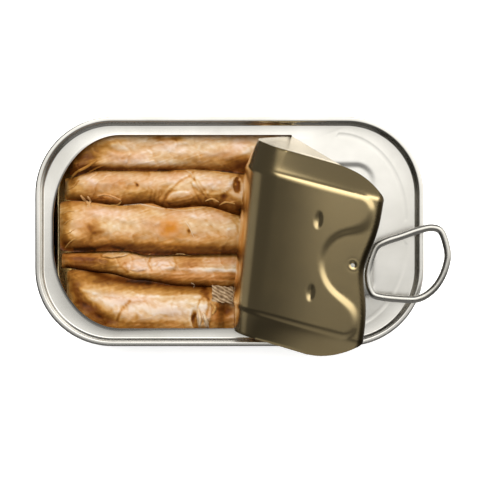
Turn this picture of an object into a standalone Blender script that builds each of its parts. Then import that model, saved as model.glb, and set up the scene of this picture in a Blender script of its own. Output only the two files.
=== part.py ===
# An open tin of mackerel fillets: a shallow drawn can, its seamed lid peeled back into a curl with
# the ring pull still riveted to it, and five fillets lying side by side.
# The script works in millimetres and turns them into metres where a mesh is made.
# The origin is the middle of the can's flat base. +X runs along the tin to the ring, +Z is up.

import math

import bmesh
import bpy
from mathutils import Vector, noise
from mathutils.geometry import delaunay_2d_cdt

MM = 0.001

# Tin
TIN_LENGTH = 105.0          # over the seam
TIN_WIDTH = 62.0            # over the seam
TIN_HEIGHT = 25.0
CORNER_RADIUS = 20.9        # of the seam's outer edge
CORNER_STEPS = 8            # straight pieces in each corner
SHEET = 0.3                 # thickness of the metal

# Can body, measured inwards from the seam's outer edge
BODY_INSET = 1.3
BODY_TOP = 22.3
BASE_RADIUS = 2.0
BASE_STEPS = 4
GROOVE_INSET = 6.8          # stiffening groove in the base
GROOVE_WIDTH = 2.0
GROOVE_DEPTH = 0.5

# Lid
SEAM_FOOT = 22.0            # lower edge of the seam
SEAM_UNDER = 0.95           # how far the seam reaches in under its own edge
SEAM_HOOK = 0.25            # inset and rise of the bevel round the seam's lower edge
SEAM_HOOK_RISE = 0.3
SEAM_CHAMFER = 0.5
SEAM_CROWN_ROUND = 0.1      # how much steeper than 45 degrees the bevel at the crown is
SEAM_THICKNESS = 1.4
LEDGE_HEIGHT = 21.8         # upper face of the flat lid, sunk below the seam
FOOT_INSET = 2.85           # where the sloping wall inside the seam meets the flat lid
FOOT_BEND = 0.35            # width and height of the bend at the foot of that wall
FOOT_BEND_RISE = 0.4
SCORE_LENGTH = 96.0         # outline along which the lid tears
SCORE_WIDTH = 52.7
SCORE_CORNER_X = 18.3
SCORE_CORNER_Y = 23.2
TEAR_GAP = 0.35             # between the torn panel and the ledge that stays
TEAR_STEPS = 120
TEAR_START = 0.4            # the gap opens this far past the line where the sheet leaves the lid

# Pressed panel inside the lid
BEAD_HINGE_X = 40.1
BEAD_TAB_X = -41.0
BEAD_HALF_WIDTH = 18.4
BEAD_HINGE_RADIUS = 5.8
BEAD_TAB_RADIUS = 4.2
BEAD_SLOPE = 1.2
BEAD_DEPTH = 0.7
NOTCH_X = -38.4             # round notch in the pressed panel, about the rivet
NOTCH_RADIUS = 8.2
NOTCH_BLEND = 6.0
DIMPLES = ((-27.0, 9.4), (-27.6, -9.4))
DIMPLE_LENGTH = 2.4
DIMPLE_WIDTH = 4.6
DIMPLE_HEIGHT = 0.6
DIMPLE_SIDES = 12
DIMPLE_INNER = 0.55         # size and sides of a second loop inside each dimple
DIMPLE_INNER_SIDES = 8
OUTLINE_STEPS = 1440        # points tried round the pressed panel
OUTLINE_HALVINGS = 30
OUTLINE_LONGEST = 9.0       # a point is kept after this length, or where the line has turned
OUTLINE_SHORTEST = 0.4
OUTLINE_TURN = math.radians(14.0)

# Curl of the torn panel, about lines that lean a little from the tin's width
FRONT_X = 13.4              # where the sheet leaves the lid, on the tin's middle line
FRONT_SKEW = math.radians(7.5)
CONE = 0.004                # growth of the curl for each millimetre along it
CURL_RADIUS = 10.0
CURL_TURN = math.radians(166.0)
TOP_RADIUS = 118.0          # slow bend of the part that lies folded back
TAB_BEND_X = -41.2
NOSE_DENT = 2.4             # the ring's nose has pushed the bend in towards the rivet
NOSE_DENT_WIDTH = 8.0
TAB_BEND_RADIUS = 1.3
TAB_BEND_TURN = math.radians(92.0)
DROOP_BACK = math.radians(34.5)
DROOP_FRONT = math.radians(24.0)
DROOP_REACH = 40.0
DROOP_MOST = 1.2            # past this share of the reach the border droops no further
DROOP_BACK_POWER = 0.55     # the back border droops from the start of the curl, the front one later
DROOP_FRONT_POWER = 1.1
CURL_LINES = 16             # straight lines of the curl cut into its tight part, and into the rest
TOP_LINES = 3
TAB_LINES = 3
TAB_HALF_STEPS = 6
LID_SHARP = 18.0            # degrees
MERGE_DISTANCE = 0.01

# Ring pull
RING_HEIGHT = LEDGE_HEIGHT + 14.0
RING_WIRE = 0.9
RING_OUTLINE = (
    (36.3, -12.0), (36.6, -9.3), (37.4, -6.6), (38.7, -4.0), (41.3, -2.6), (45.3, -1.3), (49.6, 0.2),
    (53.3, 0.9), (55.8, -0.4), (57.3, -5.5), (56.9, -9.1), (55.4, -12.8), (53.1, -15.7), (50.0, -17.6),
    (46.4, -17.9), (39.0, -17.1), (37.0, -15.4),
)
RING_STEPS = 3              # straight pieces between two outline points
RING_SIDES = 8
NOSE_FROM = (34.6, -16.9)
NOSE_TO = (37.4, -9.4)
PLATE = 0.7
RIVET = (-37.3, 0.4)        # on the flat sheet
RIVET_RADIUS = 2.2
RIVET_SIDES = 14
RIVET_HEAD = 0.7            # thickness of the head, and how far its top lies under the panel
RIVET_DROP = 0.5
WIRE_SQUASH = 0.85          # height of the rolled rim over its width
TONGUE_BACK = 1.6           # the tongue from the nose plate to the rivet
TONGUE_OVERLAP = 1.0
TONGUE_LOW = 1.8
TONGUE_HIGH = 1.4
TONGUE_THINNER = 0.05
POST_FROM = 1.7             # the part of the tongue that stands up against the rivet
POST_TO = 0.9
POST_LOW = 1.7
POST_HIGH = 1.3
POST_INSET = 0.1
POST_BELOW_HEAD = 0.2

# Fillets: creases between them run along the tin, written as points of a smooth line
FLOOR_GAP = 1.2             # under the fillets
SEAT_GAP = 0.6              # between the fillets and the can's wall
CREASE_GAP = 0.36
CREASES = (
    ((-50.0, 29.0), (50.0, 29.0)),
    ((-44.0, 15.1), (-36.4, 17.0), (-21.1, 16.8), (-10.2, 17.3), (5.6, 16.0), (25.0, 16.6), (48.0, 15.4)),
    ((-44.0, 8.6), (-29.3, 7.2), (-21.9, 7.8), (-16.8, 6.4), (-7.2, 7.0), (3.9, 4.4), (25.0, 5.2), (48.0, 6.0)),
    ((-45.9, -5.6), (-28.5, -5.3), (-22.7, -6.4), (2.8, -6.1), (25.0, -7.0), (48.0, -6.0)),
    ((-44.8, -10.2), (-34.5, -11.5), (-25.2, -13.4), (-12.7, -15.1), (0.9, -15.6), (48.0, -15.0)),
    ((-50.0, -29.0), (50.0, -29.0)),
)
# name, left end, right end, crest height, lean of the crest
FILLETS = (
    ("fillet_back", -44.2, 44.0, 19.2, 0.45),
    ("fillet_second", -45.6, 47.0, 18.8, 0.50),
    ("fillet_middle", -46.8, 47.6, 20.0, 0.50),
    ("fillet_thin", -46.4, 47.0, 18.0, 0.45),
    ("fillet_front", -45.0, 44.0, 19.0, 0.58),
)
SHOWN_STATIONS = 31         # cross sections where the fillet shows, and under the lid
HIDDEN_STATIONS = 9
SHOWN_TO_X = 9.0
SHOWN_CROWDING = 1.15       # above 1 the cross sections stand closer towards the end
HIDDEN_CROWDING = 1.6
SHOWN_OFFSET = 0.3          # share of a step between an end and its first cross section
HIDDEN_OFFSET = 0.4
TOP_SIDES = 12
UNDER_SIDES = 6
END_ROUND = 5.0             # length over which a fillet's end rounds off
END_WIDTH = 0.8             # width left at the very end
TOP_POWER = 2.9             # squareness of the section above and below its shoulder
UNDER_POWER = 5.0
SHOULDER = 0.62
LEAN_TILT = 0.25
LUMPS = ((9.0, 4.0, 0.8), (3.1, 2.0, 0.3))     # length, width and height of the uneven surface
LUMP_SEED = 3.1
BROKEN_X = -3.6             # the front fillet is broken here, and lies lower beyond
BROKEN_DROP = 2.4
BROKEN_REACH = 2.5
# Flakes, folds and hollows that show: fillet, middle, half length and half width, turn, height
FLAKES = (
    (1, (-13.8, 9.1), (3.6, 2.3), 8.0, 0.55),
    (1, (-33.4, 8.7), (3.8, 1.0), -3.0, 0.35),
    (1, (-4.6, 13.4), (5.4, 3.4), -4.0, 0.45),
    (1, (2.0, 12.8), (1.1, 2.4), 0.0, -1.0),
    (3, (-25.0, -9.2), (3.4, 1.7), 4.0, 0.4),
    (3, (-17.4, -9.0), (2.6, 1.3), -6.0, 0.35),
    (3, (-31.6, -6.3), (3.8, 0.9), 4.0, 0.9),
    (4, (-22.0, -21.2), (15.0, 3.8), 2.0, 0.35),
    (4, (-7.0, -22.6), (2.0, 4.6), -6.0, 0.8),
    (4, (-9.6, -24.6), (0.9, 2.6), 8.0, -1.4),
)
SCRAP_FROM = (-4.8, -19.4)
SCRAP_TO = (0.9, -15.0)
SCRAP_STEPS = 7
SCRAP_THICKNESS = 0.4
SCRAP_LIFT = 0.55
SCRAP_WAVE = 0.2            # height of its waves, and their turns for each millimetre
SCRAP_WAVE_TURNS = (2.1, 1.7)
SCRAP_RAGGED = 0.3          # unevenness of its edges
SCRAP_RAGGED_TURNS = (2.0, 2.3)
SCRAP_REST_X = (0, 1, 2, 3)     # places where the fillet under it is measured
SCRAP_REST_Y = (1, 2, 3)


def remove_start_objects():
    for item in list(bpy.data.objects):
        bpy.data.objects.remove(item, do_unlink=True)


def make_material(name, colour, metallic, roughness):
    material = bpy.data.materials.new(name)
    material.use_nodes = True
    shader = material.node_tree.nodes["Principled BSDF"]
    shader.inputs["Base Color"].default_value = (*colour, 1.0)
    shader.inputs["Metallic"].default_value = metallic
    shader.inputs["Roughness"].default_value = roughness
    return material


def make_object(name, build, material, sharp_angle=40.0):
    # A bmesh in millimetres becomes an object in metres, shaded smooth with its sharp edges kept
    for vertex in build.verts:
        vertex.co *= MM
    mesh = bpy.data.meshes.new(name)
    build.to_mesh(mesh)
    build.free()
    mesh.shade_smooth()
    mesh.set_sharp_from_angle(angle=math.radians(sharp_angle))
    mesh.materials.append(material)
    item = bpy.data.objects.new(name, mesh)
    bpy.context.collection.objects.link(item)
    return item


def add_rings(build, rings):
    # Closed rings of points, joined each to the next by quads
    rows = [[build.verts.new(point) for point in ring] for ring in rings]
    for row, following in zip(rows, rows[1:]):
        for index in range(len(row)):
            after = (index + 1) % len(row)
            build.faces.new((row[index], row[after], following[after], following[index]))
    return rows


def tin_ring(inset, height):
    # The tin's rounded outline, a distance inside the seam's outer edge
    radius = CORNER_RADIUS - inset
    points = []
    for corner, (side_x, side_y) in enumerate(((1, 1), (-1, 1), (-1, -1), (1, -1))):
        centre_x = side_x * (TIN_LENGTH / 2 - CORNER_RADIUS)
        centre_y = side_y * (TIN_WIDTH / 2 - CORNER_RADIUS)
        for step in range(CORNER_STEPS + 1):
            angle = math.radians(90.0 * (corner + step / CORNER_STEPS))
            points.append((centre_x + radius * math.cos(angle), centre_y + radius * math.sin(angle), height))
    return points


def base_groove(face_height):
    # The stiffening groove rises into the can, seen from below as a shallow channel
    outer = GROOVE_INSET
    inner = GROOVE_INSET + GROOVE_WIDTH
    slope = GROOVE_DEPTH
    return [(outer, face_height), (outer + slope, face_height + GROOVE_DEPTH),
            (inner - slope, face_height + GROOVE_DEPTH), (inner, face_height)]


def base_corner(inset, radius, height):
    # Quarter round from the base up into the wall
    points = []
    for step in range(BASE_STEPS + 1):
        angle = math.radians(90.0 * step / BASE_STEPS)
        points.append((inset + radius * (1 - math.sin(angle)), height + radius * (1 - math.cos(angle))))
    return points


def can_body(material):
    outside = list(reversed(base_groove(0.0))) + base_corner(BODY_INSET, BASE_RADIUS, 0.0)
    inside = list(reversed(base_groove(SHEET))) + base_corner(BODY_INSET + SHEET, BASE_RADIUS - SHEET, SHEET)
    profile = outside + [(BODY_INSET, BODY_TOP), (BODY_INSET + SHEET, BODY_TOP)] + list(reversed(inside))
    build = bmesh.new()
    rows = add_rings(build, [tin_ring(inset, height) for inset, height in profile])
    build.faces.new(rows[0])
    build.faces.new(rows[-1])
    bmesh.ops.recalc_face_normals(build, faces=build.faces)
    return make_object("can_body", build, material)


def score_point(angle, inset):
    # Outline of the tear: straight long sides, elliptical corners and nearly straight ends
    side_x = 1 if math.cos(angle) >= 0 else -1
    side_y = 1 if math.sin(angle) >= 0 else -1
    centre_x = side_x * (SCORE_LENGTH / 2 - SCORE_CORNER_X)
    centre_y = side_y * (SCORE_WIDTH / 2 - SCORE_CORNER_Y)
    return (centre_x + (SCORE_CORNER_X - inset) * math.cos(angle),
            centre_y + (SCORE_CORNER_Y - inset) * math.sin(angle))


def inside_score(x, y, inset):
    over_x = max(abs(x) - (SCORE_LENGTH / 2 - SCORE_CORNER_X), 0.0) / (SCORE_CORNER_X - inset)
    over_y = max(abs(y) - (SCORE_WIDTH / 2 - SCORE_CORNER_Y), 0.0) / (SCORE_CORNER_Y - inset)
    return math.hypot(over_x, over_y) < 1.0


def smooth_smaller(first, second, reach):
    blend = max(reach - abs(first - second), 0.0) / reach
    return min(first, second) - blend * blend * reach / 4


def bead_level(x, y):
    # How far a point of the flat lid lies inside the pressed panel's outline
    radius = BEAD_HINGE_RADIUS if x > 0 else BEAD_TAB_RADIUS
    past_x = (x - BEAD_HINGE_X if x > 0 else BEAD_TAB_X - x) + radius
    past_y = abs(y) - BEAD_HALF_WIDTH + radius
    inside = radius - math.hypot(max(past_x, 0.0), max(past_y, 0.0)) - min(max(past_x, past_y), 0.0)
    clear_of_notch = math.hypot(x - NOTCH_X, y) - NOTCH_RADIUS
    return smooth_smaller(inside, clear_of_notch, NOTCH_BLEND)


def lid_relief(x, y):
    # Height of the pressed forms over the flat sheet, on the side that was outside
    height = -BEAD_DEPTH * min(max(bead_level(x, y) / BEAD_SLOPE, 0.0), 1.0)
    for dimple_x, dimple_y in DIMPLES:
        away = ((x - dimple_x) / (DIMPLE_LENGTH / 2)) ** 2 + ((y - dimple_y) / (DIMPLE_WIDTH / 2)) ** 2
        height += DIMPLE_HEIGHT * max(1.0 - away, 0.0)
    return height


def bead_contour(level):
    # Walks round the pressed panel's outline and keeps a point where the line has turned
    points = []
    for step in range(OUTLINE_STEPS):
        angle = math.tau * step / OUTLINE_STEPS
        near, far = 0.0, SCORE_LENGTH
        for _ in range(OUTLINE_HALVINGS):
            middle = (near + far) / 2
            if bead_level(middle * math.cos(angle), middle * math.sin(angle)) > level:
                near = middle
            else:
                far = middle
        points.append(Vector((near * math.cos(angle), near * math.sin(angle))))
    kept = [points[0]]
    heading = points[1] - points[0]
    for before, point in zip(points, points[1:]):
        onward = point - before
        run = (point - kept[-1]).length
        turned = onward.angle(heading) > OUTLINE_TURN and run > OUTLINE_SHORTEST
        if run > OUTLINE_LONGEST or turned:
            kept.append(before)
            heading = onward
    return [(point.x, point.y) for point in kept]


def curl_profile(length):
    # Run, rise and direction of the curl after a length of sheet
    tight = CURL_RADIUS * CURL_TURN
    if length <= tight:
        turn = length / CURL_RADIUS
        return CURL_RADIUS * math.sin(turn), CURL_RADIUS * (1 - math.cos(turn)), turn
    turn = CURL_TURN + (length - tight) / TOP_RADIUS
    run = CURL_RADIUS * math.sin(CURL_TURN) + TOP_RADIUS * (math.sin(turn) - math.sin(CURL_TURN))
    rise = CURL_RADIUS * (1 - math.cos(CURL_TURN)) + TOP_RADIUS * (math.cos(CURL_TURN) - math.cos(turn))
    return run, rise, turn


def tab_bend_x(y):
    return TAB_BEND_X + NOSE_DENT * math.exp(-(y / NOSE_DENT_WIDTH) ** 2)


def border_droop(border, length):
    # How far the sheet outside the pressed panel leans over, at a length along the curl
    limit, power = (DROOP_BACK, DROOP_BACK_POWER) if border > 0 else (DROOP_FRONT, DROOP_FRONT_POWER)
    return limit * min(max(length / DROOP_REACH, 0.0), DROOP_MOST) ** power


def sheet_point(x, y, relief):
    # Place of a point of the flat lid after the panel was torn open and curled back
    flat_x = max(x, tab_bend_x(y))
    flat_y = max(-BEAD_HALF_WIDTH, min(BEAD_HALF_WIDTH, y))
    along = Vector((math.sin(FRONT_SKEW), math.cos(FRONT_SKEW), 0.0))
    across = Vector((-math.cos(FRONT_SKEW), math.sin(FRONT_SKEW), 0.0))
    up = Vector((0.0, 0.0, 1.0))
    from_front = Vector((flat_x - FRONT_X, flat_y, 0.0))
    travel = from_front.dot(along)
    length = from_front.dot(across)
    front = Vector((FRONT_X, 0.0, LEDGE_HEIGHT)) + along * travel
    if length <= 0:
        run, rise, turn = length, 0.0, 0.0
    else:
        size = 1.0 + CONE * travel
        run, rise, turn = curl_profile(length / size)
        run, rise = run * size, rise * size
    place = front + across * run + up * rise
    onward = across * math.cos(turn) + up * math.sin(turn)
    outward = up * math.cos(turn) - across * math.sin(turn)
    to_tab = onward * math.cos(FRONT_SKEW) - along * math.sin(FRONT_SKEW)
    to_back = onward * math.sin(FRONT_SKEW) + along * math.cos(FRONT_SKEW)
    border = y - flat_y
    droop = border_droop(border, length)
    place += to_back * border * math.cos(droop) + outward * abs(border) * math.sin(droop)
    past_bend = flat_x - x
    bend = min(past_bend / TAB_BEND_RADIUS, TAB_BEND_TURN)
    rest = past_bend - bend * TAB_BEND_RADIUS
    place += to_tab * (TAB_BEND_RADIUS * math.sin(bend) + rest * math.cos(bend))
    place += outward * (TAB_BEND_RADIUS * (1 - math.cos(bend)) + rest * math.sin(bend))
    return place + outward * relief


def front_distance(x, y):
    # How far a flat point lies past the line where the sheet leaves the lid
    return -(x - FRONT_X) * math.cos(FRONT_SKEW) + y * math.sin(FRONT_SKEW)


def ruling(length):
    # A straight line of the curl on the flat sheet, from one torn edge to the other
    ends = []
    for side in (1, -1):
        near, far = 0.0, SCORE_WIDTH
        for _ in range(OUTLINE_HALVINGS):
            middle = (near + far) / 2
            travel = side * middle
            past = length * (1.0 + CONE * travel)
            x = FRONT_X + travel * math.sin(FRONT_SKEW) - past * math.cos(FRONT_SKEW)
            y = travel * math.cos(FRONT_SKEW) + past * math.sin(FRONT_SKEW)
            if inside_score(x, y, TEAR_GAP / 2):
                near = middle
            else:
                far = middle
        ends.append((x, y))
    return ends


def tear_loop():
    # Edge of the narrow gap: out along the ledge that stays and back along the torn panel
    angles = [math.tau * step / TEAR_STEPS for step in range(TEAR_STEPS)]
    outer = [score_point(angle, 0.0) for angle in angles]
    outer = [point for point in outer if front_distance(*point) > TEAR_START]
    inner = [score_point(angle, TEAR_GAP) for angle in angles]
    inner = [point for point in inner if front_distance(*point) > TEAR_START]
    ledge_side = [front_end(1, 0.0)] + outer + [front_end(-1, 0.0)]
    return ledge_side + [front_end(-1, TEAR_GAP)] + list(reversed(inner)) + [front_end(1, TEAR_GAP)]


def front_end(side, inset):
    # Where the line at which the sheet leaves the lid meets a long edge
    y = side * (SCORE_WIDTH / 2 - inset)
    return (FRONT_X + y * math.tan(FRONT_SKEW), y)


def ellipse_loop(centre, length, width, sides):
    angles = [math.tau * step / sides for step in range(sides)]
    return [(centre[0] + length / 2 * math.cos(a), centre[1] + width / 2 * math.sin(a)) for a in angles]


def point_in_loop(x, y, loop):
    inside = False
    for (x1, y1), (x2, y2) in zip(loop, loop[1:] + loop[:1]):
        if (y1 > y) != (y2 > y) and x < x1 + (y - y1) / (y2 - y1) * (x2 - x1):
            inside = not inside
    return inside


def flat_lid():
    # The flat lid as triangles, cut along its pressed lines, its tear and the curl's rulings
    points, lines = [], []

    def add_line(line, closed):
        first = len(points)
        points.extend(Vector(point) for point in line)
        count = len(line)
        for index in range(count if closed else count - 1):
            lines.append((first + index, first + (index + 1) % count))

    add_line([point[:2] for point in tin_ring(FOOT_INSET, 0.0)], True)
    tear = tear_loop()
    add_line(tear, True)
    for level in (0.0, BEAD_SLOPE):
        add_line(bead_contour(level), True)
    for dimple in DIMPLES:
        add_line(ellipse_loop(dimple, DIMPLE_LENGTH, DIMPLE_WIDTH, DIMPLE_SIDES), True)
        inner = ellipse_loop(dimple, DIMPLE_INNER * DIMPLE_LENGTH, DIMPLE_INNER * DIMPLE_WIDTH, DIMPLE_INNER_SIDES)
        add_line(inner, True)
        add_line([dimple], False)
    tight = CURL_RADIUS * CURL_TURN
    reach = FRONT_X - TAB_BEND_X
    for step in range(1, CURL_LINES + 1):
        add_line(ruling(tight * step / CURL_LINES), False)
    for step in range(1, TOP_LINES + 1):
        add_line(ruling(tight + (reach - tight) * step / (TOP_LINES + 1)), False)
    for step in range(TAB_LINES + 1):
        past_bend = TAB_BEND_RADIUS * TAB_BEND_TURN * step / TAB_LINES
        half = score_half_width(TAB_BEND_X - past_bend)
        across = [half * share / TAB_HALF_STEPS for share in range(-TAB_HALF_STEPS, TAB_HALF_STEPS + 1)]
        add_line([(tab_bend_x(y) - past_bend, y) for y in across], False)
    for side in (1, -1):
        crease = side * BEAD_HALF_WIDTH
        add_line([(BEAD_TAB_X + BEAD_TAB_RADIUS, crease), (-score_reach(crease), crease)], False)
    found = delaunay_2d_cdt(points, lines, [], 0, 1e-5)
    flat_points, faces = found[0], found[2]
    kept = []
    for face in faces:
        centre = sum((flat_points[index] for index in face), Vector((0.0, 0.0))) / 3
        if not point_in_loop(centre.x, centre.y, tear):
            kept.append(face)
    return flat_points, kept


def score_reach(y):
    # How far the torn panel reaches along the tin at y
    over = (abs(y) - (SCORE_WIDTH / 2 - SCORE_CORNER_Y)) / (SCORE_CORNER_Y - TEAR_GAP / 2)
    return SCORE_LENGTH / 2 - SCORE_CORNER_X + (SCORE_CORNER_X - TEAR_GAP / 2) * math.sqrt(1 - over * over)


def score_half_width(x):
    # How far the torn panel reaches across the tin at x
    over = (abs(x) - (SCORE_LENGTH / 2 - SCORE_CORNER_X)) / (SCORE_CORNER_X - TEAR_GAP / 2)
    return SCORE_WIDTH / 2 - SCORE_CORNER_Y + (SCORE_CORNER_Y - TEAR_GAP / 2) * math.sqrt(1 - over * over)


def seam_profile():
    # Inset and height from under the seam, over its crown and down the sloping wall to the flat lid
    shoulder = TIN_HEIGHT - SEAM_CHAMFER
    crown = SEAM_CHAMFER - SEAM_CROWN_ROUND
    return (
        (SEAM_UNDER, SEAM_FOOT),
        (SEAM_HOOK, SEAM_FOOT),
        (0.0, SEAM_FOOT + SEAM_HOOK_RISE),
        (0.0, shoulder),
        (crown, TIN_HEIGHT),
        (SEAM_THICKNESS - crown, TIN_HEIGHT),
        (SEAM_THICKNESS, shoulder),
        (FOOT_INSET - FOOT_BEND, LEDGE_HEIGHT + FOOT_BEND_RISE),
        (FOOT_INSET, LEDGE_HEIGHT),
    )


def lid(material):
    build = bmesh.new()
    add_rings(build, [tin_ring(inset, height) for inset, height in seam_profile()])
    flat_points, faces = flat_lid()
    made = []
    for x, y in flat_points:
        if inside_score(x, y, TEAR_GAP / 2):
            made.append(build.verts.new(sheet_point(x, y, lid_relief(x, y))))
        else:
            made.append(build.verts.new((x, y, LEDGE_HEIGHT)))
    for face in faces:
        build.faces.new([made[index] for index in face])
    bmesh.ops.remove_doubles(build, verts=build.verts, dist=MERGE_DISTANCE)
    bmesh.ops.delete(build, geom=[v for v in build.verts if not v.link_faces], context="VERTS")
    bmesh.ops.recalc_face_normals(build, faces=build.faces)
    on_ledge = Vector((0.0, TIN_WIDTH / 2 - FOOT_INSET, LEDGE_HEIGHT))
    ledge = min(build.faces, key=lambda face: (face.calc_center_median() - on_ledge).length)
    if ledge.normal.z < 0:
        bmesh.ops.reverse_faces(build, faces=build.faces)
    item = make_object("lid", build, material, LID_SHARP)
    solid = item.modifiers.new("thickness", "SOLIDIFY")
    solid.thickness = SHEET * MM
    solid.offset = -1.0
    solid.use_even_offset = True
    return item


def smooth_loop(points, steps):
    # Closed smooth line through the points
    line = []
    count = len(points)
    for index in range(count):
        before, start, end, after = (Vector(points[(index + k) % count]) for k in (-1, 0, 1, 2))
        for step in range(steps):
            t = step / steps
            bend = 2 * before - 5 * start + 4 * end - after
            twist = 3 * start - before - 3 * end + after
            line.append(0.5 * (2 * start + (end - before) * t + bend * t * t + twist * t ** 3))
    return line


def box_between(build, low, high):
    made = bmesh.ops.create_cube(build, size=1.0)["verts"]
    low, high = Vector(low), Vector(high)
    size = high - low
    for vertex in made:
        vertex.co = (low + high) / 2 + Vector([vertex.co[axis] * size[axis] for axis in range(3)])


def ring_wire():
    # The curled rim of the ring, flatter than it is wide
    line = [Vector((point.x, point.y, 0.0)) for point in smooth_loop(RING_OUTLINE, RING_STEPS)]
    build = bmesh.new()
    rows = []
    for index, centre in enumerate(line):
        ahead = (line[(index + 1) % len(line)] - line[index - 1]).normalized()
        aside = Vector((ahead.y, -ahead.x, 0.0))
        row = []
        for side in range(RING_SIDES):
            angle = math.tau * (side + 0.5) / RING_SIDES
            lift = Vector((0, 0, RING_HEIGHT + WIRE_SQUASH * RING_WIRE * math.sin(angle)))
            row.append(build.verts.new(centre + aside * RING_WIRE * math.cos(angle) + lift))
        rows.append(row)
    for row, following in zip(rows, rows[1:] + rows[:1]):
        for side in range(RING_SIDES):
            after = (side + 1) % RING_SIDES
            build.faces.new((row[side], following[side], following[after], row[after]))
    bmesh.ops.recalc_face_normals(build, faces=build.faces)
    return build


def ring_pull(material):
    # One stamped piece: the curled loop, the nose plate, and the tongue that runs to the rivet
    ring = make_object("ring_pull", ring_wire(), material)
    rivet = sheet_point(RIVET[0], RIVET[1], 0.0)
    head_top = rivet.z - RIVET_DROP
    parts = bpy.data.collections.new("ring_parts")
    bpy.context.scene.collection.children.link(parts)
    plate_low = RING_HEIGHT - PLATE / 2
    boxes = {
        "nose_plate": ((NOSE_FROM[0], NOSE_FROM[1], plate_low), (NOSE_TO[0], NOSE_TO[1], plate_low + PLATE)),
        "tongue_out": (
            (rivet.x - TONGUE_BACK, NOSE_TO[1] - TONGUE_LOW, plate_low + TONGUE_THINNER),
            (NOSE_FROM[0] + TONGUE_OVERLAP, NOSE_TO[1] + TONGUE_HIGH, plate_low + PLATE - TONGUE_THINNER),
        ),
        "tongue_up": (
            (rivet.x - POST_FROM, NOSE_TO[1] - POST_LOW, plate_low + POST_INSET),
            (rivet.x - POST_TO, NOSE_TO[1] + POST_HIGH, head_top - POST_BELOW_HEAD),
        ),
    }
    made = []
    for name, (low, high) in boxes.items():
        build = bmesh.new()
        box_between(build, low, high)
        made.append(make_object(name, build, material))
    build = bmesh.new()
    bmesh.ops.create_cone(build, cap_ends=True, segments=RIVET_SIDES, radius1=RIVET_RADIUS,
                          radius2=RIVET_RADIUS, depth=RIVET_HEAD)
    bmesh.ops.translate(build, verts=build.verts, vec=(rivet.x, rivet.y, head_top - RIVET_HEAD / 2))
    made.append(make_object("rivet_head", build, material))
    for item in made:
        bpy.context.collection.objects.unlink(item)
        parts.objects.link(item)
    union = ring.modifiers.new("one_piece", "BOOLEAN")
    union.operation = "UNION"
    union.operand_type = "COLLECTION"
    union.collection = parts
    union.solver = "EXACT"
    applied = bpy.data.meshes.new_from_object(ring.evaluated_get(bpy.context.evaluated_depsgraph_get()))
    ring.modifiers.clear()
    ring.data = applied
    for item in made:
        bpy.data.objects.remove(item, do_unlink=True)
    bpy.data.collections.remove(parts)
    return ring


def line_height(points, x):
    # Smooth line through a few points, read at x
    if x <= points[0][0]:
        return points[0][1]
    for (x1, y1), (x2, y2) in zip(points, points[1:]):
        if x <= x2:
            t = (x - x1) / (x2 - x1)
            return y1 + (y2 - y1) * t * t * (3 - 2 * t)
    return points[-1][1]


def seat_half_width(x):
    # Half the room inside the can at x, less the gap to its wall
    inset = BODY_INSET + SHEET + SEAT_GAP
    over = abs(x) - (TIN_LENGTH / 2 - CORNER_RADIUS)
    radius = CORNER_RADIUS - inset
    drop = radius - math.sqrt(max(radius * radius - over * over, 0.0)) if over > 0 else 0.0
    return TIN_WIDTH / 2 - inset - drop


def fillet_span(number, x):
    # The two sides of a fillet at x
    room = seat_half_width(x)
    high = min(line_height(CREASES[number], x) - CREASE_GAP / 2, room)
    low = max(line_height(CREASES[number + 1], x) + CREASE_GAP / 2, -room)
    return low, high


def flake_relief(number, x, y):
    # Height that the flakes and hollows add to a fillet's upper side
    height = 0.0
    for owner, centre, size, turn, rise in FLAKES:
        if owner != number:
            continue
        cosine = math.cos(math.radians(turn))
        sine = math.sin(math.radians(turn))
        along = (x - centre[0]) * cosine + (y - centre[1]) * sine
        across = (y - centre[1]) * cosine - (x - centre[0]) * sine
        away = math.hypot(along / size[0], across / size[1])
        height += rise * math.sqrt(max(1.0 - away * away, 0.0))
    return height


def lump_height(number, x, y):
    height = 0.0
    for seed, (length, width, rise) in enumerate(LUMPS):
        height += rise * noise.noise(Vector((x / length, y / width, LUMP_SEED * number + seed)))
    return height


def fillet_shape(number, x, around):
    # A point on the skin of a fillet: round above, nearly square where it sits in the can
    left, right, crest, lean = FILLETS[number][1:]
    low, high = fillet_span(number, x)
    from_end = min(min(x - left, right - x) / END_ROUND, 1.0)
    swell = (1 - (1 - from_end) ** 3) ** (1 / 3)
    flat = math.cos(around)
    rise = math.sin(around)
    power = TOP_POWER if rise > 0 else UNDER_POWER
    half = (high - low) / 2 * (END_WIDTH + (1 - END_WIDTH) * swell)
    y = (high + low) / 2 + half * math.copysign(abs(flat) ** (2 / power), flat)
    top = crest
    if FILLETS[number][0] == "fillet_front":
        top -= BROKEN_DROP * smooth_step((x - BROKEN_X) / BROKEN_REACH)
    shoulder = FLOOR_GAP + (top - FLOOR_GAP) * SHOULDER
    if rise > 0:
        tilt = 1.0 + LEAN_TILT * (lean - 0.5) * flat
        arch = min(rise ** (2 / power) * tilt, 1.0)
        relief = lump_height(number, x, y) + flake_relief(number, x, y)
        z = shoulder + (top - shoulder) * swell * arch + relief * rise
    else:
        z = shoulder - (shoulder - FLOOR_GAP) * abs(rise) ** (2 / power)
    return Vector((x, y, z))


def smooth_step(t):
    t = min(max(t, 0.0), 1.0)
    return t * t * (3 - 2 * t)


def fillet_stations(left, right):
    # Cross sections close together where the fillet shows, and closest at its rounded ends
    stations = []
    for station in range(SHOWN_STATIONS):
        share = (station + SHOWN_OFFSET) / SHOWN_STATIONS
        stations.append(left + (SHOWN_TO_X - left) * share ** SHOWN_CROWDING)
    for station in range(HIDDEN_STATIONS):
        share = (station + HIDDEN_OFFSET) / HIDDEN_STATIONS
        stations.append(right - (right - SHOWN_TO_X) * (1 - share) ** HIDDEN_CROWDING)
    return stations


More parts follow.
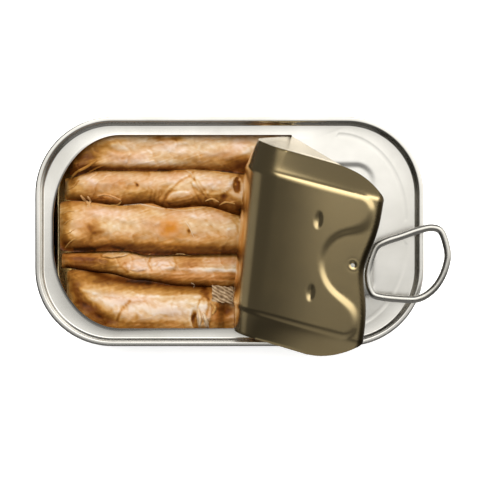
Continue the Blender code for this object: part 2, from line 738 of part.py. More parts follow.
def fillet(number, material):
    name, left, right = FILLETS[number][:3]
    turns = [math.pi * side / TOP_SIDES for side in range(TOP_SIDES)]
    turns += [math.pi + math.pi * side / UNDER_SIDES for side in range(UNDER_SIDES)]
    stations = fillet_stations(left, right)
    build = bmesh.new()
    rows = add_rings(build, [[fillet_shape(number, x, turn) for turn in turns] for x in stations])
    build.faces.new(rows[0])
    build.faces.new(rows[-1])
    bmesh.ops.recalc_face_normals(build, faces=build.faces)
    return make_object(name, build, material)


def front_fillet_top(x, y):
    # Height of the front fillet under a point
    front = len(FILLETS) - 1
    low, high = fillet_span(front, x)
    flat = min(max((y - (high + low) / 2) / ((high - low) / 2), -1.0), 1.0)
    around = math.acos(math.copysign(abs(flat) ** (TOP_POWER / 2), flat))
    return fillet_shape(front, x, around).z


def skin_scrap(material):
    # A loose scrap of skin over the break in the front fillet
    build = bmesh.new()
    bmesh.ops.create_grid(build, x_segments=SCRAP_STEPS, y_segments=SCRAP_STEPS, size=0.5)
    top = max(front_fillet_top(SCRAP_FROM[0] + dx, SCRAP_TO[1] - dy) for dx in SCRAP_REST_X for dy in SCRAP_REST_Y)
    for vertex in build.verts:
        x = SCRAP_FROM[0] + (SCRAP_TO[0] - SCRAP_FROM[0]) * (vertex.co.x + 0.5)
        y = SCRAP_FROM[1] + (SCRAP_TO[1] - SCRAP_FROM[1]) * (vertex.co.y + 0.5)
        wave = SCRAP_WAVE * math.sin(x * SCRAP_WAVE_TURNS[0]) * math.cos(y * SCRAP_WAVE_TURNS[1])
        ragged_x = SCRAP_RAGGED * math.sin(y * SCRAP_RAGGED_TURNS[0])
        ragged_y = SCRAP_RAGGED * math.sin(x * SCRAP_RAGGED_TURNS[1])
        vertex.co = (x + ragged_x, y + ragged_y, top + SCRAP_LIFT + wave)
    item = make_object("skin_scrap", build, material)
    solid = item.modifiers.new("thickness", "SOLIDIFY")
    solid.thickness = SCRAP_THICKNESS * MM
    solid.offset = 1.0
    return item


def build_tin():
    remove_start_objects()
    tinplate = make_material("tinplate", (0.78, 0.77, 0.74), 1.0, 0.28)
    bright_tinplate = make_material("bright_tinplate", (0.74, 0.73, 0.71), 1.0, 0.2)
    ring_steel = make_material("ring_steel", (0.70, 0.69, 0.67), 1.0, 0.25)
    flesh = make_material("mackerel_flesh", (0.80, 0.58, 0.36), 0.0, 0.45)
    skin = make_material("mackerel_skin", (0.50, 0.42, 0.32), 0.0, 0.4)
    can_body(tinplate)
    lid(bright_tinplate)
    ring_pull(ring_steel)
    for number in range(len(FILLETS)):
        fillet(number, flesh)
    skin_scrap(skin)


build_tin()
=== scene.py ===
import math

import bmesh
import bpy
import numpy as np
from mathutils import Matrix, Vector, noise
from mathutils.geometry import delaunay_2d_cdt


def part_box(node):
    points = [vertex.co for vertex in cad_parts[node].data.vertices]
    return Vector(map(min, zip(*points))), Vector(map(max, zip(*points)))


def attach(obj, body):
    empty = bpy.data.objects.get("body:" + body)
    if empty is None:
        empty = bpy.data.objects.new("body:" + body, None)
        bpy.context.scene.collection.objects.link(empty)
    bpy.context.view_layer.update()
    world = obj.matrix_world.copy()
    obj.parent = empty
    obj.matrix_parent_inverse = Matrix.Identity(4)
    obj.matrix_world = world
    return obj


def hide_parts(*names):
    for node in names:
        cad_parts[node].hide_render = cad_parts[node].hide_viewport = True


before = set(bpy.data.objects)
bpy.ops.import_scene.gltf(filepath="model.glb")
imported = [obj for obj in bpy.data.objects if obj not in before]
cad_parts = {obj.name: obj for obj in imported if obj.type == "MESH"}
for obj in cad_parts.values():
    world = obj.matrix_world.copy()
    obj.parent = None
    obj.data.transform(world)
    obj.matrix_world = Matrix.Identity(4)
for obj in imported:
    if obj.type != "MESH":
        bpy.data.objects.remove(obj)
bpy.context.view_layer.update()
print("packed frame loaded")

mm = 0.001

# the drawn can and its seam, in millimetres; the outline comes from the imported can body
bodyLow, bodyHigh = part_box("can_body")
bodyInset = 1.3
tin = {
    "length": (bodyHigh.x - bodyLow.x) / mm + 2 * bodyInset,
    "width": (bodyHigh.y - bodyLow.y) / mm + 2 * bodyInset,
    "cornerRadius": 20.9,
    "cornerSteps": 28,
    "sheet": 0.3,
    "bodyInset": bodyInset,
    "bodyTop": 22.3,
    "baseRadius": 2.0,
    "grooveInset": 6.8,
    "grooveWidth": 2.0,
    "grooveDepth": 0.5,
    "grooveSteps": 6,
    "baseSteps": 10,
    "seamFoot": 22.0,
    "seamTop": 25.0,
    "seamThickness": 1.4,
    "hookInset": 0.95,
    "hookRadius": 0.45,
    "hookSteps": 6,
    "seamCrown": 0.5,
    "crownPower": 4.0,
    "crownSteps": 24,
    "wallEnd": (1.62, 22.55),  # inset and height where the wall inside the seam starts to bend outwards
    "wallFoot": 1.72,
    "flatInset": 2.25,
    "footSteps": 8,
    "ledgeHeight": 21.8,
}


def linearColour(hexCode):
    # an sRGB hex colour as the linear values that the shaders take
    channels = [int(hexCode[place:place + 2], 16) / 255 for place in (1, 3, 5)]
    linear = [c / 12.92 if c <= 0.04045 else ((c + 0.055) / 1.055) ** 2.4 for c in channels]
    return (*linear, 1.0)


def addNode(tree, kind, settings=None, links=None):
    # one node, with its settings and with the sockets that feed it
    node = tree.nodes.new(kind)
    for name, value in (settings or {}).items():
        if isinstance(name, str) and hasattr(node, name):
            setattr(node, name, value)
        else:
            node.inputs[name].default_value = value
    for name, source in (links or {}).items():
        tree.links.new(source, node.inputs[name])
    return node


def newMaterial(name, shaderSettings):
    material = bpy.data.materials.new(name)
    material.use_nodes = True
    tree = material.node_tree
    shader = tree.nodes["Principled BSDF"]
    for socket, value in shaderSettings.items():
        shader.inputs[socket].default_value = value
    return material, tree, shader


def setStops(ramp, stops):
    # (position, sRGB hex colour) for each stop of a colour ramp
    elements = ramp.color_ramp.elements
    while len(elements) < len(stops):
        elements.new(0.5)
    for element, (position, hexCode) in zip(elements, stops):
        element.position = position
        element.color = linearColour(hexCode)


def smoothStep(t):
    # from 0 to 1 with a soft start and end, for arrays
    t = np.clip(t, 0.0, 1.0)
    return t * t * (3 - 2 * t)


def softStep(t):
    # the same for a single number
    t = min(max(t, 0.0), 1.0)
    return t * t * (3 - 2 * t)


def newPiece(name, build, materials, sharpAngle=40.0):
    # a bmesh in millimetres becomes a piece in metres that rides on the tin
    bmesh.ops.scale(build, vec=(mm, mm, mm), verts=build.verts)
    mesh = bpy.data.meshes.new(name)
    build.to_mesh(mesh)
    build.free()
    mesh.shade_smooth()
    mesh.set_sharp_from_angle(angle=math.radians(sharpAngle))
    for material in materials:
        mesh.materials.append(material)
    piece = bpy.data.objects.new(name, mesh)
    bpy.context.collection.objects.link(piece)
    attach(piece, "root")
    return piece


def addRings(build, rings):
    # closed rings of points, each joined to the next by quads
    rows = [[build.verts.new(point) for point in ring] for ring in rings]
    count = len(rows[0])
    for row, following in zip(rows, rows[1:]):
        for index in range(count):
            after = (index + 1) % count
            build.faces.new((row[index], row[after], following[after], following[index]))
    return rows


def arcPoints(centre, radii, start, end, steps):
    # points of an elliptical arc, angles in degrees
    points = []
    for step in range(steps + 1):
        angle = math.radians(start + (end - start) * step / steps)
        points.append((centre[0] + radii[0] * math.cos(angle), centre[1] + radii[1] * math.sin(angle)))
    return points


def ringPoints(centre, radii, sides):
    # points of a closed ellipse
    turns = [math.tau * side / sides for side in range(sides)]
    return [(centre[0] + radii[0] * math.cos(turn), centre[1] + radii[1] * math.sin(turn)) for turn in turns]


def tinRing(inset, height):
    # the tin's rounded outline, a distance inside the seam's outer edge
    radius = tin["cornerRadius"] - inset
    points = []
    for corner, (sideX, sideY) in enumerate(((1, 1), (-1, 1), (-1, -1), (1, -1))):
        centreX = sideX * (tin["length"] / 2 - tin["cornerRadius"])
        centreY = sideY * (tin["width"] / 2 - tin["cornerRadius"])
        for step in range(tin["cornerSteps"] + 1):
            angle = math.radians(90.0 * (corner + step / tin["cornerSteps"]))
            points.append((centreX + radius * math.cos(angle), centreY + radius * math.sin(angle), height))
    return points


# electrolytic tinplate, cold rolled with a bright satin finish: a cool grey mirror, blurred along the rolling
def makeTinplate(name, hexCode, roughness):
    material, tree, shader = newMaterial(name, {"Metallic": 1.0, "Roughness": roughness})
    place = addNode(tree, "ShaderNodeTexCoord").outputs["Object"]
    rolled = addNode(tree, "ShaderNodeMapping", {"Scale": (60.0, 900.0, 900.0)}, {"Vector": place})
    grain = addNode(tree, "ShaderNodeTexNoise", {"Scale": 1.0, "Detail": 3.0}, {"Vector": rolled.outputs[0]})
    handling = addNode(tree, "ShaderNodeTexNoise", {"Scale": 70.0, "Detail": 4.0}, {"Vector": place})
    tint = addNode(tree, "ShaderNodeMix", {"data_type": "RGBA", 6: linearColour(hexCode),
                                           7: linearColour("#C9C6BF")}, {0: handling.outputs["Fac"]})
    tree.links.new(tint.outputs[2], shader.inputs["Base Color"])
    blur = addNode(tree, "ShaderNodeMapRange", {
        "From Min": 0.3, "From Max": 0.7, "To Min": roughness - 0.04, "To Max": roughness + 0.05},
        {"Value": handling.outputs["Fac"]})
    tree.links.new(blur.outputs[0], shader.inputs["Roughness"])
    bump = addNode(tree, "ShaderNodeBump", {"Strength": 0.05, "Distance": 0.00004},
                   {"Height": grain.outputs["Fac"]})
    tree.links.new(bump.outputs[0], shader.inputs["Normal"])
    return material


# gold epoxy lacquer baked on tinplate: the metal shows through a thin amber film with its own soft gloss
def makeGoldLacquer():
    material, tree, shader = newMaterial("goldLacquer", {
        "Metallic": 1.0, "Roughness": 0.2, "Coat Weight": 0.4, "Coat Roughness": 0.16, "Coat IOR": 1.5})
    place = addNode(tree, "ShaderNodeTexCoord").outputs["Object"]
    film = addNode(tree, "ShaderNodeTexNoise", {"Scale": 90.0, "Detail": 5.0, "Roughness": 0.6},
                   {"Vector": place})
    tint = addNode(tree, "ShaderNodeMix", {"data_type": "RGBA", 6: linearColour("#DBC596"),
                                           7: linearColour("#CDB583")}, {0: film.outputs["Fac"]})
    bend = addNode(tree, "ShaderNodeAttribute", {"attribute_name": "bendShade"})
    shaded = addNode(tree, "ShaderNodeMix", {"data_type": "RGBA", 7: linearColour("#4A3D20")},
                     {0: bend.outputs["Fac"], 6: tint.outputs[2]})
    tree.links.new(shaded.outputs[2], shader.inputs["Base Color"])
    blur = addNode(tree, "ShaderNodeMapRange", {"From Min": 0.3, "From Max": 0.7, "To Min": 0.16,
                                                "To Max": 0.22}, {"Value": film.outputs["Fac"]})
    tree.links.new(blur.outputs[0], shader.inputs["Roughness"])
    peel = addNode(tree, "ShaderNodeTexNoise", {"Scale": 700.0, "Detail": 2.0}, {"Vector": place})
    bump = addNode(tree, "ShaderNodeBump", {"Strength": 0.06, "Distance": 0.00006},
                   {"Height": peel.outputs["Fac"]})
    tree.links.new(bump.outputs[0], shader.inputs["Normal"])
    return material


# bare steel where the score has torn: bright and slightly rough
def makeTornSteel():
    material, tree, shader = newMaterial("tornSteel", {"Metallic": 1.0, "Roughness": 0.35})
    place = addNode(tree, "ShaderNodeTexCoord").outputs["Object"]
    tear = addNode(tree, "ShaderNodeTexNoise", {"Scale": 2500.0, "Detail": 3.0}, {"Vector": place})
    tint = addNode(tree, "ShaderNodeMix", {"data_type": "RGBA", 6: linearColour("#D8D2C4"),
                                           7: linearColour("#B9B2A2")}, {0: tear.outputs["Fac"]})
    tree.links.new(tint.outputs[2], shader.inputs["Base Color"])
    return material


# cooked mackerel flesh in oil: pale, slightly translucent muscle, brown where the dark meat and juices lie;
# the tone it reads also holds painted shade on the fillets' sides, in their creases and hollows, and painted
# shadow under the ledge and the curled panel
def makeMackerelFlesh():
    material, tree, shader = newMaterial("cookedMackerelFlesh", {
        "Roughness": 0.55, "IOR": 1.37, "Specular IOR Level": 0.3, "Subsurface Weight": 0.15,
        "Subsurface Scale": 0.0008, "Subsurface Radius": (1.0, 0.75, 0.5), "Coat Weight": 0.12,
        "Coat Roughness": 0.3, "Coat IOR": 1.45})
    place = addNode(tree, "ShaderNodeTexCoord").outputs["Object"]
    masks = addNode(tree, "ShaderNodeAttribute", {"attribute_name": "fleshTone"})
    split = addNode(tree, "ShaderNodeSeparateColor", {}, {"Color": masks.outputs["Color"]})
    fibreSpace = addNode(tree, "ShaderNodeMapping", {"Scale": (300.0, 900.0, 600.0)}, {"Vector": place})
    fibres = addNode(tree, "ShaderNodeTexNoise", {"Scale": 1.0, "Detail": 4.0, "Roughness": 0.6},
                     {"Vector": fibreSpace.outputs[0]})
    mottle = addNode(tree, "ShaderNodeTexNoise", {"Scale": 420.0, "Detail": 5.0, "Roughness": 0.6},
                     {"Vector": place})
    grain = addNode(tree, "ShaderNodeMath", {"operation": "ADD"},
                    {0: fibres.outputs["Fac"], 1: mottle.outputs["Fac"]})
    shift = addNode(tree, "ShaderNodeMath", {"operation": "MULTIPLY_ADD", 1: 0.13, 2: -0.13},
                    {0: grain.outputs[0]})
    tone = addNode(tree, "ShaderNodeMath", {"operation": "ADD"}, {0: split.outputs[0], 1: shift.outputs[0]})
    ramp = addNode(tree, "ShaderNodeValToRGB", {}, {"Fac": tone.outputs[0]})
    stops = ((0.0, "#261003"), (0.18, "#542A06"), (0.34, "#6B4216"), (0.5, "#8A5D25"), (0.66, "#A67E48"),
             (0.84, "#B89E7A"), (1.0, "#C6BBAA"))
    setStops(ramp, stops)
    blushed = addNode(tree, "ShaderNodeMix", {"data_type": "RGBA", "blend_type": "MULTIPLY",
                                              7: linearColour("#F6E2DC")},
                      {0: split.outputs[1], 6: ramp.outputs["Color"]})
    stained = addNode(tree, "ShaderNodeMix", {"data_type": "RGBA", 7: linearColour("#AA680E")},
                      {0: split.outputs[2], 6: blushed.outputs[2]})
    tree.links.new(stained.outputs[2], shader.inputs["Base Color"])
    bump = addNode(tree, "ShaderNodeBump", {"Strength": 0.35, "Distance": 0.0002},
                   {"Height": grain.outputs[0]})
    tree.links.new(bump.outputs[0], shader.inputs["Normal"])
    return material


# mackerel skin with its scales gone: thin, grey-beige and striped, with a wet sheen
def makeMackerelSkin():
    material, tree, shader = newMaterial("mackerelSkin", {
        "Roughness": 0.5, "IOR": 1.4, "Coat Weight": 0.15, "Coat Roughness": 0.25, "Coat IOR": 1.45})
    masks = addNode(tree, "ShaderNodeAttribute", {"attribute_name": "fleshTone"})
    split = addNode(tree, "ShaderNodeSeparateColor", {}, {"Color": masks.outputs["Color"]})
    ramp = addNode(tree, "ShaderNodeValToRGB", {}, {"Fac": split.outputs[0]})
    stops = ((0.0, "#4E3720"), (0.45, "#7C6244"), (1.0, "#AE9676"))
    setStops(ramp, stops)
    tree.links.new(ramp.outputs["Color"], shader.inputs["Base Color"])
    return material


# white acrylic table, lit a little from behind
def makeStudioFloor():
    return newMaterial("paleFloor", {
        "Roughness": 0.9, "Base Color": linearColour("#F7F6F4"), "Emission Color": linearColour("#FFFFFF"),
        "Emission Strength": 0.6})[0]


def makeCanShell(tinplate, lacquer):
    # drawn can body: outer skin tinplate, inner skin lacquered
    sheet = tin["sheet"]

    def skin(inset, radius, height):
        outer = tin["grooveInset"]
        inner = outer + tin["grooveWidth"]
        slope = tin["grooveDepth"]
        groove = []
        for edge, side in ((inner, -1), (outer, 1)):
            for step in range(tin["grooveSteps"] + 1):
                share = step / tin["grooveSteps"]
                share = share if side < 0 else 1 - share
                rise = slope * (1 - math.cos(math.pi * share)) / 2
                groove.append((edge + side * slope * share, height + rise))
        corner = arcPoints((inset + radius, height + radius), (radius, radius), 270, 180, tin["baseSteps"])
        return groove + corner

    outside = skin(tin["bodyInset"], tin["baseRadius"], 0.0)
    inside = skin(tin["bodyInset"] + sheet, tin["baseRadius"] - sheet, sheet)
    build = bmesh.new()
    rims = [(tin["bodyInset"], tin["bodyTop"]), (tin["bodyInset"] + sheet, tin["bodyTop"])]
    profile = outside + rims + list(reversed(inside))
    rows = addRings(build, [tinRing(inset, height) for inset, height in profile])
    build.faces.new(rows[0])
    build.faces.new(rows[-1])
    bmesh.ops.recalc_face_normals(build, faces=build.faces)
    innerFrom = len(outside) + 1
    innerVerts = {vertex for row in rows[innerFrom:] for vertex in row}
    for face in build.faces:
        face.material_index = 1 if all(vertex in innerVerts for vertex in face.verts) else 0
    piece = newPiece("canShell", build, [tinplate, lacquer])
    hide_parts("can_body")


def seamProfile():
    # (inset, height) from the hook under the seam, over its crown and down to the flat lid
    half = tin["seamThickness"] / 2
    crown, hook = tin["seamCrown"], tin["hookRadius"]
    foot = arcPoints((hook, tin["seamFoot"] + hook), (hook, hook), 270, 180, tin["hookSteps"])
    top = []
    for step in range(tin["crownSteps"] + 1):
        angle = math.pi * step / tin["crownSteps"]
        flat, rise = math.cos(angle), math.sin(angle)
        bulge = abs(flat) ** (2 / tin["crownPower"]), abs(rise) ** (2 / tin["crownPower"])
        top.append((half - math.copysign(half * bulge[0], flat), tin["seamTop"] - crown + crown * bulge[1]))
    profile = [(tin["hookInset"], tin["seamFoot"])] + foot + top
    ledge = tin["ledgeHeight"]
    wallEnd, corner, flatStart = tin["wallEnd"], (tin["wallFoot"], ledge), (tin["flatInset"], ledge)
    for step in range(tin["footSteps"] + 1):
        t = step / tin["footSteps"]
        profile.append(tuple((1 - t) ** 2 * a + 2 * t * (1 - t) * b + t * t * c
                             for a, b, c in zip(wallEnd, corner, flatStart)))
    return profile


# the tear line and the pressed forms of the lid, on the flat sheet
lid = {
    "scoreLength": 96.0,
    "scoreWidth": 52.7,
    "scoreCornerX": 18.3,
    "scoreCornerY": 23.2,
    "scoreCornerShare": 0.9,  # a distance across the corner counts a little less
    "ledgePlace": (0.0, 27.5),  # a place on the ledge, where up is outward
    "tearGap": 0.35,
    "tornLip": 0.07,
    "lipWidth": 0.5,
    "lipRun": 2.0,
    "scoreDepth": 0.05,
    "scoreGroove": 0.25,
    "beadHingeX": 40.1,
    "beadTabX": -41.0,
    "beadHalfWidth": 19.2,
    "beadHingeRadius": 5.8,
    "beadTabRadius": 4.2,
    "beadSlope": 1.9,
    "beadDepth": 0.42,
    "beadHingeDepth": 0.14,  # shallower on the part that is still shut
    "hingeBlend": 8.0,
    "notchX": -38.4,
    "notchRadius": 8.2,
    "notchBlend": 6.0,
    "dimples": ((-27.0, 9.4), (-27.6, -9.4)),
    "dimpleLength": 2.4,
    "dimpleWidth": 4.6,
    "dimpleHeight": 0.26,
    "dimpleEdge": 1.15,
    "rivet": (-37.3, 0.4),
    "rivetHollow": 0.95,
    "rivetHeight": 0.25,
    "rivetEdge": 1.3,
    "rivetRing": 1.75,
    "ringHeight": 0.012,
    "ringWidth": 0.25,
}

# how finely the flat lid is cut before it is curled: lines along the tear and the pressed edge, rings
# round the dimples and the rivet, and a grid of triangles between them
lidMesh = {
    "step": 0.45,
    "rowHeight": 0.866,
    "tearSteps": 720,
    "tearFrom": 0.3,
    "tearInsets": (-0.9, -0.45, -0.22, 0.55),
    "slopeShares": (0.0, 0.17, 0.33, 0.5, 0.67, 0.83, 1.0),
    "slopeSpacing": 0.4,
    "slopeSteps": 1440,
    "slopeHalvings": 26,
    "dimpleRings": 12,
    "dimpleRingStep": 0.1,
    "dimpleSides": 48,
    "rivetRings": 12,
    "rivetRingStep": 0.18,
    "rivetSides": 24,
    "clearOfTear": 0.85,
    "clearOfSlope": 0.2,
    "clearOfDimple": 1.3,
    "clearOfRivet": 2.3,
    "tearMargin": 0.2,
    "frontMargin": 0.1,
    "cutTolerance": 1e-4,
    "mergeDistance": 0.01,
}

# the curl of the torn panel
curl = {
    "frontX": 13.4,
    "skew": math.radians(7.5),
    "cone": 0.004,
    "radius": 10.0,
    "turn": math.radians(166.0),
    "topRadius": 118.0,
    "tabBendX": -41.2,
    "noseDent": 2.4,
    "noseDentWidth": 8.0,
    "bendShade": 1.0,  # dark reflection on the lacquer past the bend at the tab
    "bendShadeWidth": 0.3,
    "tabBendRadius": 1.3,
    "tabBendTurn": math.radians(92.0),
    "droopBack": math.radians(34.5),
    "droopFront": math.radians(24.0),
    "droopReach": 40.0,
    "droopMost": 1.2,
    "droopBackPower": 0.55,
    "droopFrontPower": 1.1,
    "borderStart": 1.0,  # how far inside the pressed panel's outline the border starts to lean
    "borderSoftness": 1.35,
}


def scorePoint(angle, inset):
    # a point of the tear line, or of a line inside it
    sideX = 1 if math.cos(angle) >= 0 else -1
    sideY = 1 if math.sin(angle) >= 0 else -1
    centreX = sideX * (lid["scoreLength"] / 2 - lid["scoreCornerX"])
    centreY = sideY * (lid["scoreWidth"] / 2 - lid["scoreCornerY"])
    return (centreX + (lid["scoreCornerX"] - inset) * math.cos(angle),
            centreY + (lid["scoreCornerY"] - inset) * math.sin(angle))


def scoreDistance(x, y):
    # roughly how far a flat point lies outside the tear line
    overX = max(abs(x) - (lid["scoreLength"] / 2 - lid["scoreCornerX"]), 0.0) / lid["scoreCornerX"]
    overY = max(abs(y) - (lid["scoreWidth"] / 2 - lid["scoreCornerY"]), 0.0) / lid["scoreCornerY"]
    reach = math.hypot(overX, overY)
    return (reach - 1.0) * lid["scoreCornerY"] * (1 if overX == 0 else lid["scoreCornerShare"])


def beadLevel(x, y):
    # how far a point of the flat lid lies inside the pressed panel's outline
    radius = lid["beadHingeRadius"] if x > 0 else lid["beadTabRadius"]
    pastX = (x - lid["beadHingeX"] if x > 0 else lid["beadTabX"] - x) + radius
    pastY = abs(y) - lid["beadHalfWidth"] + radius
    inside = radius - math.hypot(max(pastX, 0.0), max(pastY, 0.0)) - min(max(pastX, pastY), 0.0)
    clearOfNotch = math.hypot(x - lid["notchX"], y) - lid["notchRadius"]
    blend = max(lid["notchBlend"] - abs(inside - clearOfNotch), 0.0) / lid["notchBlend"]
    return min(inside, clearOfNotch) - blend * blend * lid["notchBlend"] / 4


def frontDistance(x, y):
    # how far a flat point lies past the line where the sheet leaves the lid
    return -(x - curl["frontX"]) * math.cos(curl["skew"]) + y * math.sin(curl["skew"])


def dimpleAway(x, y, centre):
    # 0 at the middle of a dimple, 1 at its edge
    return math.hypot((x - centre[0]) / (lid["dimpleLength"] / 2), (y - centre[1]) / (lid["dimpleWidth"] / 2))


def lidRelief(x, y):
    # height of the pressed forms over the flat sheet, on the side that was outside
    onHinge = softStep((x - curl["frontX"]) / lid["hingeBlend"])
    depth = lid["beadDepth"] + (lid["beadHingeDepth"] - lid["beadDepth"]) * onHinge
    height = -depth * softStep(beadLevel(x, y) / lid["beadSlope"])
    for centre in lid["dimples"]:
        height += lid["dimpleHeight"] * softStep(lid["dimpleEdge"] - dimpleAway(x, y, centre))
    rivetAway = math.hypot(x - lid["rivet"][0], y - lid["rivet"][1])
    height += lid["rivetHeight"] * softStep(lid["rivetEdge"] - rivetAway / lid["rivetHollow"])
    height += lid["ringHeight"] * math.exp(-((rivetAway - lid["rivetRing"]) / lid["ringWidth"]) ** 2)
    if x > curl["frontX"]:  # the score that is still whole is a shallow groove
        height -= lid["scoreDepth"] * math.exp(-(scoreDistance(x, y) / lid["scoreGroove"]) ** 2)
    return height


def curlProfile(length):
    # run, rise and direction of the curl after a length of sheet
    radius, turnEnd, topRadius = curl["radius"], curl["turn"], curl["topRadius"]
    tight = radius * turnEnd
    if length <= tight:
        turn = length / radius
        return radius * math.sin(turn), radius * (1 - math.cos(turn)), turn
    turn = turnEnd + (length - tight) / topRadius
    run = radius * math.sin(turnEnd) + topRadius * (math.sin(turn) - math.sin(turnEnd))
    rise = radius * (1 - math.cos(turnEnd)) + topRadius * (math.cos(turnEnd) - math.cos(turn))
    return run, rise, turn


def tabBendX(y):
    return curl["tabBendX"] + curl["noseDent"] * math.exp(-(y / curl["noseDentWidth"]) ** 2)


def borderDroop(border, length):
    # how far the sheet outside the pressed panel leans over, at a length along the curl
    back = border > 0
    limit = curl["droopBack"] if back else curl["droopFront"]
    power = curl["droopBackPower"] if back else curl["droopFrontPower"]
    return limit * min(max(length / curl["droopReach"], 0.0), curl["droopMost"]) ** power


def sheetPoint(x, y, relief):
    # place of a point of the flat lid after the panel was torn open and curled back
    skew, bendRadius = curl["skew"], curl["tabBendRadius"]
    flatX = max(x, tabBendX(y))
    panelHalf = lid["beadHalfWidth"] - curl["borderStart"]
    flatY = max(-panelHalf, min(panelHalf, y))
    along = Vector((math.sin(skew), math.cos(skew), 0.0))
    across = Vector((-math.cos(skew), math.sin(skew), 0.0))
    up = Vector((0.0, 0.0, 1.0))
    fromFront = Vector((flatX - curl["frontX"], flatY, 0.0))
    travel = fromFront.dot(along)
    length = fromFront.dot(across)
    front = Vector((curl["frontX"], 0.0, tin["ledgeHeight"])) + along * travel
    if length <= 0:
        run, rise, turn = length, 0.0, 0.0
    else:
        size = 1.0 + curl["cone"] * travel
        run, rise, turn = curlProfile(length / size)
        run, rise = run * size, rise * size
    place = front + across * run + up * rise
    onward = across * math.cos(turn) + up * math.sin(turn)
    outward = up * math.cos(turn) - across * math.sin(turn)
    toTab = onward * math.cos(skew) - along * math.sin(skew)
    toBack = onward * math.sin(skew) + along * math.cos(skew)
    border = y - flatY
    droop = borderDroop(border, length)
    lean = border * border / (abs(border) + curl["borderSoftness"])
    place += toBack * border * math.cos(droop) + outward * lean * math.sin(droop)
    pastBend = flatX - x
    bend = min(pastBend / bendRadius, curl["tabBendTurn"])
    rest = pastBend - bend * bendRadius
    place += toTab * (bendRadius * math.sin(bend) + rest * math.cos(bend))
    place += outward * (bendRadius * (1 - math.cos(bend)) + rest * math.sin(bend))
    return place + outward * relief


def levelLine(level, spacing):
    # points round the pressed panel where its edge has sunk to this level
    points = []
    for step in range(lidMesh["slopeSteps"]):
        angle = math.tau * step / lidMesh["slopeSteps"]
        near, far = 0.0, lid["scoreLength"]
        for _ in range(lidMesh["slopeHalvings"]):
            middle = (near + far) / 2
            if beadLevel(middle * math.cos(angle), middle * math.sin(angle)) > level:
                near = middle
            else:
                far = middle
        point = (near * math.cos(angle), near * math.sin(angle))
        if not points or math.dist(point, points[-1]) > spacing:
            points.append(point)
    return points


def frontEnd(side, inset):
    # where the line at which the sheet leaves the lid meets a long edge
    y = side * (lid["scoreWidth"] / 2 - inset)
    return (curl["frontX"] + y * math.tan(curl["skew"]), y)


def pointInLoop(x, y, loop):
    inside = False
    for (x1, y1), (x2, y2) in zip(loop, loop[1:] + loop[:1]):
        if (y1 > y) != (y2 > y) and x < x1 + (y - y1) / (y2 - y1) * (x2 - x1):
            inside = not inside
    return inside


def flatLid():
    # the flat lid as fine triangles, cut along its tear and its pressed lines
    points, lines = [], []

    def addLine(line):
        first = len(points)
        count = len(line)
        points.extend(Vector(point) for point in line)
        lines.extend((first + index, first + (index + 1) % count) for index in range(count))

    addLine([point[:2] for point in tinRing(tin["flatInset"], 0.0)])
    angles = [math.tau * step / lidMesh["tearSteps"] for step in range(lidMesh["tearSteps"])]
    past = lidMesh["tearFrom"]
    ledgeSide = [p for p in (scorePoint(a, 0.0) for a in angles) if frontDistance(*p) > past]
    panelSide = [p for p in (scorePoint(a, lid["tearGap"]) for a in angles) if frontDistance(*p) > past]
    tear = ([frontEnd(1, 0.0)] + ledgeSide + [frontEnd(-1, 0.0), frontEnd(-1, lid["tearGap"])]
            + panelSide[::-1] + [frontEnd(1, lid["tearGap"])])
    addLine(tear)
    for inset in lidMesh["tearInsets"]:
        points.extend(Vector(scorePoint(a, inset)) for a in angles)
    for share in lidMesh["slopeShares"]:
        points.extend(Vector(point) for point in levelLine(share * lid["beadSlope"], lidMesh["slopeSpacing"]))
    for centre in lid["dimples"]:
        for ringNumber in range(1, lidMesh["dimpleRings"] + 1):
            share = ringNumber * lidMesh["dimpleRingStep"]
            radii = (share * lid["dimpleLength"] / 2, share * lid["dimpleWidth"] / 2)
            points.extend(Vector(point) for point in ringPoints(centre, radii, lidMesh["dimpleSides"]))
    for ringNumber in range(1, lidMesh["rivetRings"] + 1):
        radii = (ringNumber * lidMesh["rivetRingStep"],) * 2
        points.extend(Vector(point) for point in ringPoints(lid["rivet"], radii, lidMesh["rivetSides"]))
    gap, rowGap, clear = lidMesh["step"], lidMesh["step"] * lidMesh["rowHeight"], lidMesh["clearOfSlope"]
    for column in range(int(lid["scoreLength"] / gap) + 1):
        for row in range(int(lid["scoreWidth"] / rowGap) + 1):
            x = -lid["scoreLength"] / 2 + (column + 0.5 * (row % 2)) * gap
            y = -lid["scoreWidth"] / 2 + row * rowGap
            onSlope = -clear < beadLevel(x, y) < lid["beadSlope"] + clear
            byRivet = math.dist((x, y), lid["rivet"]) < lidMesh["clearOfRivet"]
            byDimple = any(dimpleAway(x, y, centre) < lidMesh["clearOfDimple"] for centre in lid["dimples"])
            byTear = scoreDistance(x, y) > -lidMesh["clearOfTear"]
            if not (onSlope or byRivet or byDimple or byTear):
                points.append(Vector((x, y)))
    found = delaunay_2d_cdt(points, lines, [], 0, lidMesh["cutTolerance"])
    flatPoints, faces = found[0], found[2]
    margin = lidMesh["tearMargin"]
    kept = []
    for face in faces:
        x = sum(flatPoints[index].x for index in face) / 3
        y = sum(flatPoints[index].y for index in face) / 3
        nearTear = -lid["tearGap"] - margin < scoreDistance(x, y) < margin
        pastFront = frontDistance(x, y) > -lidMesh["frontMargin"]
        if not (nearTear and pastFront and pointInLoop(x, y, tear)):
            kept.append(face)
    return flatPoints, kept


